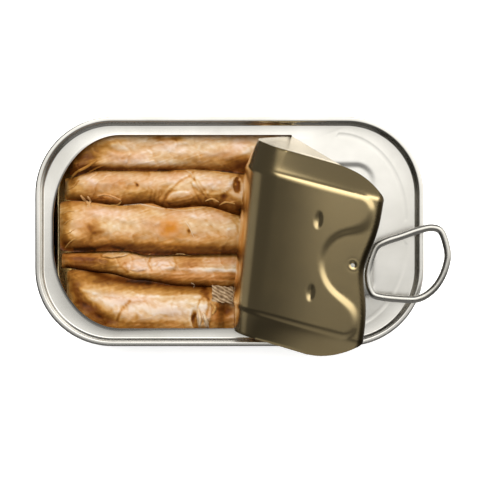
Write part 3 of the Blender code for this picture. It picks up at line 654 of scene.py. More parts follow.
def addThickness(build, thickness, innerSlot, rimSlot):
    # a second skin under the first, and the narrow edge that joins them
    build.normal_update()
    rim = [edge for edge in build.edges if edge.is_boundary]
    twins = {vertex: build.verts.new(vertex.co - vertex.normal * thickness) for vertex in list(build.verts)}
    for vertex, twin in twins.items():
        for layer in build.verts.layers.float.values():
            twin[layer] = vertex[layer]
    skin = list(build.faces)
    for face in skin:
        face.material_index = 0
        inner = build.faces.new([twins[vertex] for vertex in reversed(face.verts)])
        inner.material_index = innerSlot
    for edge in rim:
        loop = edge.link_loops[0]
        first, second = loop.vert, loop.link_loop_next.vert
        side = build.faces.new((second, first, twins[first], twins[second]))
        side.material_index = rimSlot


def makeLid(tinplate, lacquer, tornSteel):
    # seam, ledge and curled panel in one sheet
    build = bmesh.new()
    layer = build.verts.layers.float.new("bendShade")
    addRings(build, [tinRing(inset, height) for inset, height in seamProfile()])
    flatPoints, faces = flatLid()
    made = []
    for x, y in flatPoints:
        outside = scoreDistance(x, y)
        if outside < -lid["tearGap"] / 2:
            made.append(build.verts.new(sheetPoint(x, y, lidRelief(x, y))))
            pastBend = (tabBendX(y) - x) / (2 * curl["bendShadeWidth"]) + 0.5
            made[-1][layer] = curl["bendShade"] * softStep(pastBend)
        else:
            torn = softStep(frontDistance(x, y) / lid["lipRun"])
            lip = lid["tornLip"] * torn * softStep(1 - outside / lid["lipWidth"])
            score = lid["scoreDepth"] * (1 - torn) * math.exp(-(outside / lid["scoreGroove"]) ** 2)
            made.append(build.verts.new((x, y, tin["ledgeHeight"] + lip - score)))
    for face in faces:
        build.faces.new([made[index] for index in face])
    bmesh.ops.remove_doubles(build, verts=build.verts, dist=lidMesh["mergeDistance"])
    bmesh.ops.delete(build, geom=[v for v in build.verts if not v.link_faces], context="VERTS")
    bmesh.ops.recalc_face_normals(build, faces=build.faces)
    onLedge = Vector((*lid["ledgePlace"], tin["ledgeHeight"]))
    ledge = min(build.faces, key=lambda face: (face.calc_center_median() - onLedge).length)
    if ledge.normal.z < 0:
        bmesh.ops.reverse_faces(build, faces=build.faces)
    addThickness(build, tin["sheet"], innerSlot=1, rimSlot=2)
    piece = newPiece("peeledLid", build, [tinplate, lacquer, tornSteel], sharpAngle=50.0)
    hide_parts("lid")


# the ring pull, stamped and rolled
ring = {
    "overLedge": 14.0,
    "wire": 0.92,
    "squash": 0.82,
    "outline": (
        (36.3, -12.0), (36.6, -9.3), (37.4, -6.6), (38.7, -4.0), (41.3, -2.6), (45.3, -1.3), (49.6, 0.2),
        (53.3, 0.9), (55.8, -0.4), (57.3, -5.5), (56.9, -9.1), (55.4, -12.8), (53.1, -15.7), (50.0, -17.6),
        (46.4, -17.9), (39.0, -17.1), (37.0, -15.4),
    ),
    "steps": 12,
    "sides": 28,
    "noseFrom": (34.6, -16.9),
    "noseTo": (37.4, -9.4),
    "plate": 0.7,
    "plateRound": 0.3,
    # the tongue's corners and its bend down to the lid's nose, from the rivet, the nose and the plate
    "tongueLow": (-1.6, -1.8, 0.05),
    "tongueHigh": (1.0, 1.4, -0.05),
    "bendLow": (-1.7, -1.7, 0.1),
    "bendHigh": (-0.9, 1.3, -0.2),
    "tongueRound": 0.25,
    "bevelSteps": 4,
    "headDrop": 0.5,
    "rivetRadius": 2.2,
    "rivetHead": 0.7,
    "rivetSides": 48,
    "neckRadius": 1.4,
    "neckLength": 0.8,
    "neckRise": 0.2,
    "neckSides": 32,
}


def splinePoint(before, start, end, after, t):
    bend = 2 * before - 5 * start + 4 * end - after
    twist = 3 * start - before - 3 * end + after
    return 0.5 * (2 * start + (end - before) * t + bend * t * t + twist * t ** 3)


def smoothLoop(points, steps):
    # closed smooth line through the points
    line = []
    count = len(points)
    for index in range(count):
        corners = [Vector((*points[(index + k) % count], 0.0)) for k in (-1, 0, 1, 2)]
        line.extend(splinePoint(*corners, step / steps) for step in range(steps))
    return line


def addRoundedBox(build, low, high, radius):
    # a box between two corners, its edges rounded
    made = bmesh.ops.create_cube(build, size=1.0)["verts"]
    low, high = Vector(low), Vector(high)
    size = high - low
    for vertex in made:
        vertex.co = (low + high) / 2 + Vector([vertex.co[axis] * size[axis] for axis in range(3)])
    edges = {edge for vertex in made for edge in vertex.link_edges}
    bmesh.ops.bevel(build, geom=list(edges), offset=radius, segments=ring["bevelSteps"],
                    affect="EDGES", profile=0.5)


def addDisc(build, radius, depth, sides, middle):
    made = bmesh.ops.create_cone(build, cap_ends=True, segments=sides,
                                 radius1=radius, radius2=radius, depth=depth)
    bmesh.ops.translate(build, verts=made["verts"], vec=middle)


def makeRing(steel):
    height = tin["ledgeHeight"] + ring["overLedge"]
    line = smoothLoop(ring["outline"], ring["steps"])
    build = bmesh.new()
    rows = []
    for index, centre in enumerate(line):
        ahead = (line[(index + 1) % len(line)] - line[index - 1]).normalized()
        aside = Vector((ahead.y, -ahead.x, 0.0))
        row = []
        for side in range(ring["sides"]):
            angle = math.tau * side / ring["sides"]
            lift = Vector((0, 0, ring["squash"] * ring["wire"] * math.sin(angle) + height))
            row.append(build.verts.new(centre + aside * ring["wire"] * math.cos(angle) + lift))
        rows.append(row)
    for row, following in zip(rows, rows[1:] + rows[:1]):
        for side in range(ring["sides"]):
            after = (side + 1) % ring["sides"]
            build.faces.new((row[side], following[side], following[after], row[after]))
    rivet = sheetPoint(lid["rivet"][0], lid["rivet"][1], 0.0)
    headTop = rivet.z - ring["headDrop"]
    plateLow, plateHigh = height - ring["plate"] / 2, height + ring["plate"] / 2
    (noseLeft, noseFront), (noseRight, noseBack) = ring["noseFrom"], ring["noseTo"]
    addRoundedBox(build, (noseLeft, noseFront, plateLow), (noseRight, noseBack, plateHigh),
                  ring["plateRound"])
    addRoundedBox(build, Vector((rivet.x, noseBack, plateLow)) + Vector(ring["tongueLow"]),
                  Vector((noseLeft, noseBack, plateHigh)) + Vector(ring["tongueHigh"]), ring["tongueRound"])
    addRoundedBox(build, Vector((rivet.x, noseBack, plateLow)) + Vector(ring["bendLow"]),
                  Vector((rivet.x, noseBack, headTop)) + Vector(ring["bendHigh"]), ring["tongueRound"])
    addDisc(build, ring["rivetRadius"], ring["rivetHead"], ring["rivetSides"],
            (rivet.x, rivet.y, headTop - ring["rivetHead"] / 2))
    addDisc(build, ring["neckRadius"], ring["neckLength"], ring["neckSides"],
            (rivet.x, rivet.y, headTop + ring["neckRise"]))
    bmesh.ops.recalc_face_normals(build, faces=build.faces)
    piece = newPiece("ringPull", build, [steel])
    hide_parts("ring_pull")


# the five fillets, in millimetres
fish = {
    "floorGap": 1.2,
    "seatGap": 0.6,
    "creaseGap": 0.06,
    "creaseDepth": 2.9,
    "creaseBlend": 0.5,
    # the creases between the fillets and the walls beyond them, from back to front
    "creases": (
        ((-50.0, 29.0), (50.0, 29.0)),
        ((-44.0, 15.1), (-36.4, 17.0), (-21.1, 16.8), (-10.2, 17.3), (5.6, 16.0), (25.0, 16.6), (48.0, 15.4)),
        ((-44.0, 8.6), (-29.3, 7.2), (-21.9, 7.8), (-16.8, 6.4), (-7.2, 7.0), (3.9, 4.4), (25.0, 5.2),
            (48.0, 6.0)),
        ((-45.9, -5.6), (-28.5, -5.3), (-22.7, -6.4), (2.8, -6.1), (25.0, -7.0), (48.0, -6.0)),
        ((-44.8, -10.2), (-34.5, -11.5), (-25.2, -13.4), (-12.7, -15.1), (0.9, -15.6), (48.0, -15.0)),
        ((-50.0, -29.0), (50.0, -29.0)),
    ),
    # name, left and right end, height, lean, then the slant and spacing of its flakes
    "pieces": (
        ("back", -44.2, 44.0, 19.2, 0.45, 20.0, 6.5),
        ("second", -45.6, 47.0, 18.8, 0.50, -38.0, 3.6),
        ("middle", -46.8, 47.6, 20.0, 0.50, -25.0, 5.5),
        ("thin", -46.4, 47.0, 18.0, 0.45, 15.0, 4.0),
        ("front", -45.0, 44.0, 19.0, 0.58, 70.0, 5.0),
    ),
    # the brown stain of oil and juices
    "stainedPiece": 2,
    "stainPlace": (-16.3, 0.8),
    "stainSize": (3.5, 3.0),
    "stain": 0.95,
    "stainRagged": (1.6, 1.4, 0.3),
    # cross sections up to shownToX, and beyond it under the curled panel
    "shownStations": 270,
    "hiddenStations": 60,
    "shownToX": 9.0,
    "shownShift": 0.3,
    "hiddenShift": 0.4,
    "shownCrowding": 1.15,
    "hiddenCrowding": 1.6,
    # the section and the rounding of its ends
    "topSides": 88,
    "underSides": 12,
    "endRound": 5.0,
    "endWidth": 0.8,
    "endPower": 3,
    "topPower": 2.9,
    "underPower": 5.0,
    "shoulder": 0.62,
    "leanTilt": 0.25,
    # noise of the form and then of the skin: length, breadth, height
    "lumps": ((9.0, 4.0, 0.8), (3.1, 2.0, 0.3)),
    "lumpSeed": 3.1,
    "grains": ((2.2, 1.5, 0.18), (1.1, 0.9, 0.09)),
    "fibres": (3.2, 0.42, 0.07),
    "fibreSlant": (0.7, 0.35),
    "ribbedPiece": 3,
    "ribs": (7.0, 0.7, 0.14),
    # flakes: height, bends of their edges, how they rise, drop and fade
    "flakeRise": 0.26,
    "flakeWarps": ((6.0, 3.5, 0.5), (1.6, 1.1, 0.18)),
    "flakePower": 1.7,
    "flakeDrop": 0.15,
    "flakeBase": 0.3,
    "flakeCover": (8.0, 5.0, 1.2),
    "flakeShare": 0.55,
    "flakeLeast": 0.1,
    "surfaceShare": 0.6,
    "creaseNoise": (5.0, 9.0, 0.55),
    "creaseRelief": 0.5,
    "creaseFrom": 0.02,
    # tone of the skin: level, darker sides (brown flesh and painted shade), darker front (painted shade on
    # the side turned from the light), and humps painted lighter than hollows (painted shade)
    "tone": 0.83,
    "sideShade": 0.34,
    "sideSharpness": 5,
    "frontShade": 0.3,
    "frontSpread": 1.1,
    "paintedHollowShade": 0.8,
    "hollowShadeWindow": (4, 3),
    "hollowShadeLimits": (-0.25, 0.15),
    "toneNoise": (6.5, 2.6, 0.1),
    "fibreTone": 0.03,
    "blush": 0.4,
    "blushNoise": (7.0, 3.5, 0.6),
    # how patches and lines are drawn: shifts of their edges as length, breadth, shift in x and in y
    "edgeShifts": ((2.4, 1.8, 0.5, 0.4), (0.8, 0.7, 0.2, 0.16)),
    "patchSpread": 1.05,
    "lineShift": 0.3,
    "lineSpread": 1.6,
    "lineTone": 0.65,
    "lineRise": 0.5,
    "flakeEdge": (1.3, 0.9, 0.12),
    # the fillet that is broken off, from where and how far it drops
    "brokenPiece": 4,
    "brokenX": -3.6,
    "brokenDrop": 2.4,
    "brokenReach": 2.5,
    # flakes, folds and hollows: fillet, middle, half length and half width, turn, height
    "flakes": (
        (1, (-13.8, 9.1), (3.6, 2.3), 8.0, 0.55),
        (1, (-33.4, 8.7), (3.8, 1.0), -3.0, 0.35),
        (1, (-4.6, 13.4), (5.4, 3.4), -4.0, 0.45),
        (1, (2.0, 12.8), (1.1, 2.4), 0.0, -1.0),
        (3, (-25.0, -9.2), (3.4, 1.7), 4.0, 0.4),
        (3, (-17.4, -9.0), (2.6, 1.3), -6.0, 0.35),
        (3, (-31.6, -6.3), (3.8, 0.9), 4.0, 0.9),
        (4, (-22.0, -21.2), (15.0, 3.8), 2.0, 0.35),
        (4, (-7.0, -22.6), (2.0, 4.6), -6.0, 0.8),
        (4, (-9.6, -24.6), (0.9, 2.6), 8.0, -0.7),
    ),
}


# where in the noise each use starts; the fillet's number is added to most of them
noiseSeeds = {
    "creases": 30.0,
    "flakes": 31.0,
    "flakeEdges": 90.0,
    "edgesX": 21.0,
    "edgesY": 23.0,
    "fibres": 50.0,
    "grains": (60.0, 70.0),
    "ribs": 7.0,
    "tone": 40.0,
    "blush": 80.0,
    "stain": 3.0,
    "strands": 6.0,
}


def noiseField(x, y, size, seed):
    # smooth noise: the length and breadth of its lumps in millimetres, and its strength
    places = zip((x / size[0]).ravel().tolist(), (y / size[1]).ravel().tolist())
    return size[2] * np.array([noise.noise((a, b, seed)) for a, b in places]).reshape(x.shape)


def lineHeight(points, x):
    # y of a smooth line at each x
    result = np.full_like(x, points[-1][1])
    for (x1, y1), (x2, y2) in reversed(list(zip(points, points[1:]))):
        result = np.where(x <= x2, y1 + (y2 - y1) * smoothStep((x - x1) / (x2 - x1)), result)
    return result


def seatHalfWidth(x):
    # half the room between the can's walls at each x
    inset = tin["bodyInset"] + tin["sheet"] + fish["seatGap"]
    over = np.maximum(np.abs(x) - (tin["length"] / 2 - tin["cornerRadius"]), 0.0)
    radius = tin["cornerRadius"] - inset
    drop = radius - np.sqrt(np.maximum(radius * radius - over * over, 0.0))
    return tin["width"] / 2 - inset - drop


def filletSpan(number, x):
    # a fillet's edges in front and behind
    room = seatHalfWidth(x)
    high = np.minimum(lineHeight(fish["creases"][number], x) - fish["creaseGap"] / 2, room)
    low = np.maximum(lineHeight(fish["creases"][number + 1], x) + fish["creaseGap"] / 2, -room)
    return low, high


def spot(x, y, centre, size, turn=0.0):
    # 0 at the middle of a turned ellipse, 1 at its edge
    dx, dy = x - centre[0], y - centre[1]
    c, s = math.cos(math.radians(turn)), math.sin(math.radians(turn))
    return np.hypot((dx * c + dy * s) / size[0], (dy * c - dx * s) / size[1])


def lineAway(x, y, route):
    # distance to a line of straight runs
    best = np.full_like(x, np.inf)
    for (x1, y1), (x2, y2) in zip(route, route[1:]):
        run = (x2 - x1, y2 - y1)
        share = np.clip(((x - x1) * run[0] + (y - y1) * run[1]) / (run[0] ** 2 + run[1] ** 2), 0.0, 1.0)
        away = np.hypot(x - x1 - share * run[0], y - y1 - share * run[1])
        best = np.minimum(best, away)
    return best


def hollow(away, width):
    # 1 at the middle, fading outwards
    return np.exp(-(away / width) ** 2)


def blurred(field, along, around):
    # mean over a window of neighbouring points; the field closes on itself round the fillet
    result = field
    for reach, axis in ((along, 0), (around, 1)):
        total = np.zeros_like(result)
        for shift in range(-reach, reach + 1):
            total += np.roll(result, shift, axis)
        result = total / (2 * reach + 1)
    return result


def flakeSteps(x, y, seed, slant, period):
    # overlapping flakes of muscle: each rises slowly and ends in a small step
    warp = sum(noiseField(x, y, size, seed + layer) for layer, size in enumerate(fish["flakeWarps"]))
    phase = (x * math.cos(slant) + y * math.sin(slant)) / period + warp
    share = phase - np.floor(phase)
    drop = smoothStep((share - 1 + fish["flakeDrop"]) / fish["flakeDrop"])
    step = share ** fish["flakePower"] * (1 - drop) - fish["flakeBase"]
    cover = fish["flakeShare"] + noiseField(x, y, fish["flakeCover"], seed + len(fish["flakeWarps"]))
    return step * np.clip(cover, fish["flakeLeast"], 1.0)


# the marks of the flesh were placed on the photograph, so their places and sizes are in its pixels
photo = {
    "middle": 242.5,
    "pixelsPerMillimetre": 3.673,
    "fishDepth": 0.9935,  # the fish lies lower than the lid and looks smaller by this
    "tinMiddle": (12.95, 10.9),  # how far the middle of the tin lies left of and above the picture's middle
}
pixel = 1 / (photo["pixelsPerMillimetre"] * photo["fishDepth"])  # on the fish, in millimetres


def onFish(place):
    # a pixel as a place on the fish, to a tenth of a millimetre
    across, down = [(value - photo["middle"]) / photo["fishDepth"] for value in place]
    x = (across + photo["tinMiddle"][0]) / photo["pixelsPerMillimetre"]
    y = (-photo["tinMiddle"][1] - down) / photo["pixelsPerMillimetre"]
    return round(x, 1), round(y, 1)


# patches: middle, half length and half width, clockwise turn, then what each adds to the tone, to the
# pinkness and, in millimetres, to the height
patches = {
    "back": (
        ((82, 158), (20, 12), -38, -0.55, -0.5, -0.3),
        ((101, 152), (9, 4), -30, -0.12, -0.3, 0.0),
        ((190, 151), (30, 6), 0, 0.12, 0.1, 0.1),
        ((120, 156), (16, 5), 4, 0.08, 0.4, 0.1),
        ((140, 156), (7, 4), 8, 0.06, 0.5, 0.15),
        ((150, 163), (60, 4), 1, 0.36, 0.0, 0.0),
        ((226, 156), (15, 5), 6, -0.02, 0.6, 0.0),
        ((240, 148), (8, 6), 30, 0.08, 0.3, 0.1),
        # painted shadow of the curled panel on the fillet's right end
        ((243, 163), (15, 6), -8, -0.5, -0.2, -0.2),
        # painted shadow of the ledge along the fillet's back edge, over a slight dip
        ((157, 138.5), (6, 2.2), 0, -0.3, 0.0, -0.2),
        ((174, 139), (9, 2.2), 3, -0.34, 0.0, -0.2),
        ((112, 143), (14, 3), -14, -0.2, -0.4, 0.0),
    ),
    "second": (
        ((74, 194), (10, 9), 20, -0.26, -0.5, -0.3),
        ((71, 180), (5, 7), 20, -0.35, -0.2, -0.6),
        ((91, 181), (5, 3), 30, 0.14, 0.6, 0.2),
        ((93, 190), (6, 5), -10, -0.1, 0.3, 0.0),
        ((122, 177), (20, 5), -4, 0.02, 0.5, 0.1),
        ((142, 195), (26, 6.5), 2, -0.2, -0.2, -0.1),
        ((128, 188), (16, 3), 3, -0.08, 0.0, 0.0),
        ((107, 199), (11, 4.4), 3, 0.02, 0.9, 0.0),
        ((106, 202), (6, 2.0), 0, -0.14, -0.4, 0.0),
        ((101, 198), (4, 1.1), 6, -0.3, 0.2, -0.2),
        ((170, 178), (21, 5.5), -4, 0.08, 0.5, 0.15),
        ((166, 189), (7, 5), -40, -0.16, -0.1, 0.0),
        ((180, 195), (11, 3.6), -12, 0.06, 0.1, 0.1),
        ((178, 202), (13, 3.4), -4, -0.1, -0.4, 0.0),
        ((200, 195), (7, 9), 20, -0.18, -0.2, -0.1),
        ((213, 182), (17, 6.5), 4, 0.1, 0.3, 0.2),
        ((224, 196), (5, 2.6), 0, -0.34, 0.1, -0.2),
        # painted shadow of the curled panel on the fillet's right end
        ((238, 184), (4.6, 9), 6, -0.45, 0.2, -0.5),
        ((239, 179), (1.6, 1.6), 0, 0.35, 0.4, 0.3),
        ((236, 184), (1.2, 1.6), 0, 0.3, 0.4, 0.3),
        ((247, 186), (2.6, 10), 0, -0.05, -0.5, 0.0),
        ((228, 201), (19, 6), 6, -0.34, -0.2, 0.0),
        ((215, 201), (3, 1.4), 20, 0.22, 0.2, 0.2),
        ((231, 202), (3, 1.2), -20, 0.2, 0.2, 0.2),
        # painted shadow of the curled panel on the fillet's right end
        ((241, 209), (6, 4), 30, -0.4, 0.0, -0.4),
        ((114.7, 184.2), (25.5, 5.1), 0, -0.07, 0.2, 0.0),
        ((136.7, 184.5), (1.5, 1.3), 0, -0.5, 0.0, -0.15),
    ),
    "middle": (
        ((65, 222), (6, 22), 4, -0.36, -0.5, -0.2),
        ((80, 219), (6, 14), 6, -0.04, 0.1, 0.1),
        ((88.8, 229.5), (8.8, 12.4), 6, -0.12, 0.1, 0.0),
        ((117, 213), (9, 5), 0, 0.14, 0.2, 0.1),
        ((100, 211), (14, 4), 0, 0.08, 0.6, 0.0),
        ((96, 229), (8, 7), 30, -0.24, 0.3, -0.1),
        ((92, 236), (6, 3.4), -20, -0.14, -0.3, 0.0),
        ((135, 236), (6, 2.6), 10, -0.16, 0.2, 0.0),
        ((148, 226), (12, 7), 0, -0.03, 0.4, 0.0),
        ((196, 214), (38, 4.2), 5, 0.1, 0.4, 0.1),
        ((205, 232), (26, 9), 8, -0.08, 0.1, 0.0),
        # painted shadow of the curled panel on the fillet's right end
        ((238, 222), (6, 9), -20, -0.16, -0.2, 0.0),
        ((150, 246), (80, 3.4), 1.5, -0.22, 0.0, 0.0),
        ((84, 249), (10, 2.2), -3, -0.3, 0.1, -0.2),
        ((66, 243), (5, 6), 0, -0.2, -0.6, 0.0),
        ((189.3, 231), (1.6, 1.4), 0, -0.7, 0.0, -0.2),
    ),
    "thin": (
        ((96.4, 263.8), (19.7, 6.9), 3, -0.17, -0.3, 0.0),
        ((82, 259), (26, 6), 4, -0.5, 0.9, 0.0),
        ((86, 266), (20, 2.0), 10, -0.02, -0.2, 0.0),
        ((107, 262), (8, 5), 20, -0.1, -0.2, 0.0),
        ((136, 267), (12.5, 5.2), 10, 0.14, 0.9, 0.2),
        ((163, 264), (12, 7), 14, 0.12, 0.9, 0.3),
        ((137, 275.5), (14, 2.8), 8, -0.04, -0.8, 0.0),
        ((190, 264), (12, 9), 0, -0.24, 0.6, 0.0),
        ((212, 270), (27, 1.3), 2, 0.24, -0.2, 0.25),
        ((225, 261), (15, 3.6), 0, -0.1, 1.0, 0.0),
        ((190, 277), (30, 5), 2, -0.1, 0.7, 0.0),
        ((232, 277), (14, 4), 0, -0.2, 0.5, 0.0),
        ((112, 252), (13, 3.2), -4, 0.1, -0.1, 0.2),
    ),
    "front": (
        ((77, 294), (7, 19), -24, -0.55, -0.8, 0.0),
        ((140, 285), (66, 7.5), 4, -0.36, -0.8, 0.0),
        ((98, 281), (13, 3.6), 12, -0.18, -0.5, 0.0),
        ((106, 300), (26, 6), 8, 0.12, 0.3, 0.25),
        ((137, 300), (12, 3.6), -6, 0.08, 0.8, 0.1),
        ((158, 311), (38, 11), 2, 0.1, 0.2, 0.3),
        ((97, 312), (20, 7.5), 36, -0.55, -0.6, -0.4),
        ((137, 317), (3, 3.4), 0, -0.16, -0.4, -0.15),
        ((147, 315.5), (3.2, 3), 0, -0.1, -0.3, -0.1),
        ((165, 316), (4, 2), 20, -0.1, -0.3, -0.1),
        ((182, 303), (9, 4), 0, 0.05, 0.2, 0.1),
        ((201, 308), (6.5, 10), -14, 0.1, 0.0, 0.3),
        ((206, 322), (2.0, 7), -18, 0.12, 0.0, 0.2),
        ((193.5, 317), (2.0, 5), 4, -0.5, -0.1, -0.6),
        ((213, 308), (4.5, 6), 0, 0.02, -0.4, 0.2),
        ((206, 294), (6, 6), -20, -0.34, 0.6, -0.2),
        ((222, 310), (10, 9), 10, -0.5, 0.8, -0.2),
        ((222, 321), (10, 4), 0, -0.12, 0.5, 0.0),
        ((150, 323), (50, 2.0), 0, -0.14, -0.2, 0.0),
    ),
}

# lines: half width, what each adds to the tone and, in millimetres, to the height, then its points; the dark
# lines along the creases paint the shade in them
lines = {
    "back": (
        # painted shade along the crease between the back and the second fillet
        (0.9, -0.2, -0.3, ((90, 167), (110, 168), (130, 168.5), (160, 169), (188, 169.5), (232, 171))),
    ),
    "second": (
        (0.9, -0.22, -0.22, ((188.5, 176.5), (180, 181), (174, 186.5), (167, 194), (162, 204))),
        (0.8, 0.1, 0.1, ((186, 176), (176, 182), (168, 189), (161, 197), (158, 203))),
        (0.8, 0.12, 0.12, ((166, 200), (172, 194.5), (180, 191.5), (190, 192), (193, 195))),
        # painted shade along the crease between the second and the middle fillet
        (0.8, -0.18, -0.15, ((166, 203), (176, 206), (188, 205.5), (196, 202))),
        (0.6, -0.1, -0.08, ((168, 202), (178, 198.5), (190, 196))),
        (0.6, -0.1, -0.08, ((170, 203.5), (182, 201.5), (193, 199))),
        (0.7, -0.14, -0.12, ((194, 178), (198, 186), (204, 195), (209, 203))),
        (0.7, -0.12, -0.1, ((198, 180), (203, 188), (208, 196), (213, 202))),
        (0.7, -0.12, -0.1, ((191, 182), (194, 190), (199, 199), (203, 205))),
        (1.0, -0.2, -0.25, ((193, 172), (190, 176), (195, 180))),
        (0.8, -0.08, -0.1, ((148, 172), (149, 176), (145, 181), (138, 184))),
        (0.6, -0.1, -0.06, ((152, 190), (150, 196), (149, 203))),
        (0.6, -0.1, -0.06, ((156, 190), (154, 196), (154, 204))),
        (0.6, -0.1, -0.06, ((160, 190), (158, 196), (158, 203))),
        (0.8, 0.2, 0.15, ((97, 196), (104, 195), (112, 197), (119, 200))),
        (0.9, -0.14, -0.2, ((210, 191), (220, 190), (230, 188), (234, 183))),
        # painted shade along the crease between the back and the second fillet
        (0.7, -0.1, -0.2, ((90, 168), (110, 169.5), (130, 170), (160, 170.5), (188, 171))),
    ),
    "middle": (
        (0.9, 0.2, 0.15, ((121, 204), (138, 204.5), (150, 206), (163, 208.5))),
        (0.8, 0.14, 0.12, ((228, 212), (236, 215), (241, 221), (243, 229))),
        (0.8, -0.12, -0.12, ((224, 216), (232, 219), (237, 225), (238, 233))),
        (0.9, -0.2, -0.2, ((230, 211), (239, 214.5), (245, 222))),
        (0.8, -0.06, -0.06, ((178, 212), (190, 220), (200, 230))),
        (0.8, -0.06, -0.06, ((190, 211), (204, 219), (214, 229))),
        (0.8, -0.06, -0.06, ((204, 211), (216, 218), (226, 228))),
        (1.2, -0.14, -0.1, ((89, 226), (91, 231), (97, 234), (104, 231))),
        # painted shade along the crease between the middle and the thin fillet
        (1.2, -0.25, -0.4, ((134, 252), (151, 253), (171, 253), (189, 254.5), (217, 255.5), (239, 255))),
        (1.2, -0.3, -0.5, ((74, 249), (92, 249), (108, 246), (122, 249))),
    ),
    "thin": (
        (0.8, 0.12, 0.1, ((64, 256), (80, 255), (97, 257), (112, 261))),
        (0.8, -0.2, -0.2, ((150, 258), (148, 264), (151, 270))),
        (0.6, -0.14, -0.1, ((155, 266), (160, 261), (168, 261), (172, 266))),
        (0.5, -0.12, -0.1, ((157, 269), (162, 265), (168, 266))),
        (0.8, -0.16, -0.15, ((124, 263), (121, 267), (127, 272))),
        (0.8, -0.12, -0.12, ((173, 257), (176, 263), (174, 271))),
        # painted shade along the creases on both sides of the thin fillet
        (1.6, -0.3, -0.4, ((66, 266), (81, 267.5), (96, 274), (110, 278.5), (128, 282.5), (148, 282.5))),
        (0.8, -0.15, -0.2, ((134, 253), (151, 254.5), (171, 254.5), (189, 256), (217, 257), (239, 256))),
    ),
    "front": (
        (0.9, -0.3, -0.35, ((130, 301), (126, 305), (121.5, 310.5), (119, 315), (117, 320))),
        (0.7, -0.1, -0.1, ((127, 300), (133, 302), (146, 301))),
        (0.9, 0.12, 0.15, ((80, 289), (95, 293.5), (117, 296.5), (129, 296), (140, 295.5), (160, 297),
            (191, 295.5), (201, 297))),
        (0.7, -0.14, -0.15, ((200, 300), (198, 307), (201, 314), (203, 322))),
        (0.8, -0.24, -0.25, ((208, 299), (209, 306), (207, 314))),
        (0.6, -0.07, -0.08, ((174, 298), (171, 306), (175, 315))),
        # painted shade along the crease between the thin and the front fillet
        (2.0, -0.4, -0.6, ((66, 266), (81, 267.5), (96, 274), (110, 278.5), (128, 282.5), (148, 282.5))),
        (1.2, -0.2, -0.3, ((148, 283), (165, 284.5), (186, 285.5), (205, 289))),
    ),
}

strandForm = {
    "steps": 6,
    "sides": 8,
    "tip": 0.6,
    "bumps": 0.35,
    "bumpScale": 1.3,
    "lift": 0.5,
    "roundness": 0.7,
}

# loose strands: radius in millimetres, tone, pinkness, then the points they run through
strands = {
    "back": (
        (0.42, 0.5, 0.0, ((97, 160), (86, 167), (76, 172), (69, 178))),
        (0.3, 0.42, 0.1, ((104, 165), (94, 168), (84, 174))),
    ),
    "second": (
        (0.42, 0.72, 0.5, ((80, 195), (84, 200), (91, 206))),
        (0.34, 0.74, 0.5, ((87, 196), (89, 201), (87, 207))),
        (0.3, 0.55, 0.2, ((79, 180), (73, 186), (66, 190))),
        (0.3, 0.7, 0.8, ((97, 196), (104, 194.5), (113, 196.5), (121, 200.5))),
        (0.3, 0.6, 0.0, ((98, 205), (107, 206), (117, 204), (121, 201))),
        (0.14, 0.85, 0.4, ((186, 170), (191, 173), (193, 178))),
        (0.13, 0.55, 0.2, ((211, 170), (221, 173), (232, 173))),
        (0.25, 0.66, 0.2, ((205, 201), (212, 199), (219, 202))),
        (0.25, 0.62, 0.2, ((219, 205), (226, 202), (235, 204))),
    ),
    "middle": (
        (0.17, 0.88, 0.4, ((122, 205), (138, 204), (152, 206.5), (165, 209))),
        (0.12, 0.8, 0.3, ((166, 208), (180, 210), (196, 209), (206, 207))),
        (0.12, 0.6, 0.0, ((75, 212), (68, 211), (62, 214))),
        (0.12, 0.6, 0.0, ((74, 219), (68, 221), (62, 226))),
        (0.12, 0.55, 0.0, ((75, 229), (69, 233), (62, 234))),
        (0.14, 0.6, 0.0, ((77, 238), (70, 242), (64, 248))),
        (0.1, 0.9, 0.3, ((186, 222), (190, 228), (194, 237))),
    ),
    "thin": (
        (0.16, 0.62, 0.2, ((134, 254), (142, 257.5), (150, 254))),
        (0.12, 0.7, 0.1, ((168, 256), (179, 254), (190, 256))),
        (0.14, 0.9, 0.0, ((191, 283), (194, 285), (193, 288))),
    ),
    "front": (
        (0.5, 0.86, 0.2, ((203, 312), (206, 320), (208.5, 328))),
        (0.42, 0.86, 0.2, ((198, 309), (200, 318), (199.5, 327))),
        (0.5, 0.66, 0.1, ((211, 303), (215, 308), (212, 315))),
    ),
}


def flakeHeight(number, x, y):
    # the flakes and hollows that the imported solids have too
    height = np.zeros_like(x)
    for owner, centre, size, turn, rise in fish["flakes"]:
        if owner == number:
            away = spot(x, y, centre, size, turn)
            away += noiseField(x, y, fish["flakeEdge"], noiseSeeds["flakeEdges"] + centre[0])
            height += rise * np.sqrt(np.clip(1.0 - away * away, 0.0, 1.0))
    return height


def addMarks(number, x, y, tone, blush, height):
    # patches and lines of the flesh, their edges made ragged by bending the plane a little
    nearX, nearY = x, y
    for layer, (along, across, shiftX, shiftY) in enumerate(fish["edgeShifts"]):
        nearX = nearX + noiseField(x, y, (along, across, shiftX), noiseSeeds["edgesX"] + layer)
        nearY = nearY + noiseField(x, y, (along, across, shiftY), noiseSeeds["edgesY"] + layer)
    for centre, size, turn, addTone, addBlush, addHeight in patches[fish["pieces"][number][0]]:
        halfSize = [round(length * pixel, 1) for length in size]
        share = hollow(spot(nearX, nearY, onFish(centre), halfSize, -turn), fish["patchSpread"])
        tone += addTone * share
        blush += addBlush * share
        height += addHeight * share
    lineX, lineY = x + fish["lineShift"] * (nearX - x), y + fish["lineShift"] * (nearY - y)
    for halfWidth, addTone, addHeight, route in lines[fish["pieces"][number][0]]:
        away = lineAway(lineX, lineY, [onFish(point) for point in route])
        share = hollow(away, fish["lineSpread"] * round(halfWidth * pixel, 2))
        tone += fish["lineTone"] * addTone * share
        height += fish["lineRise"] * addHeight * share
    return tone, blush, height


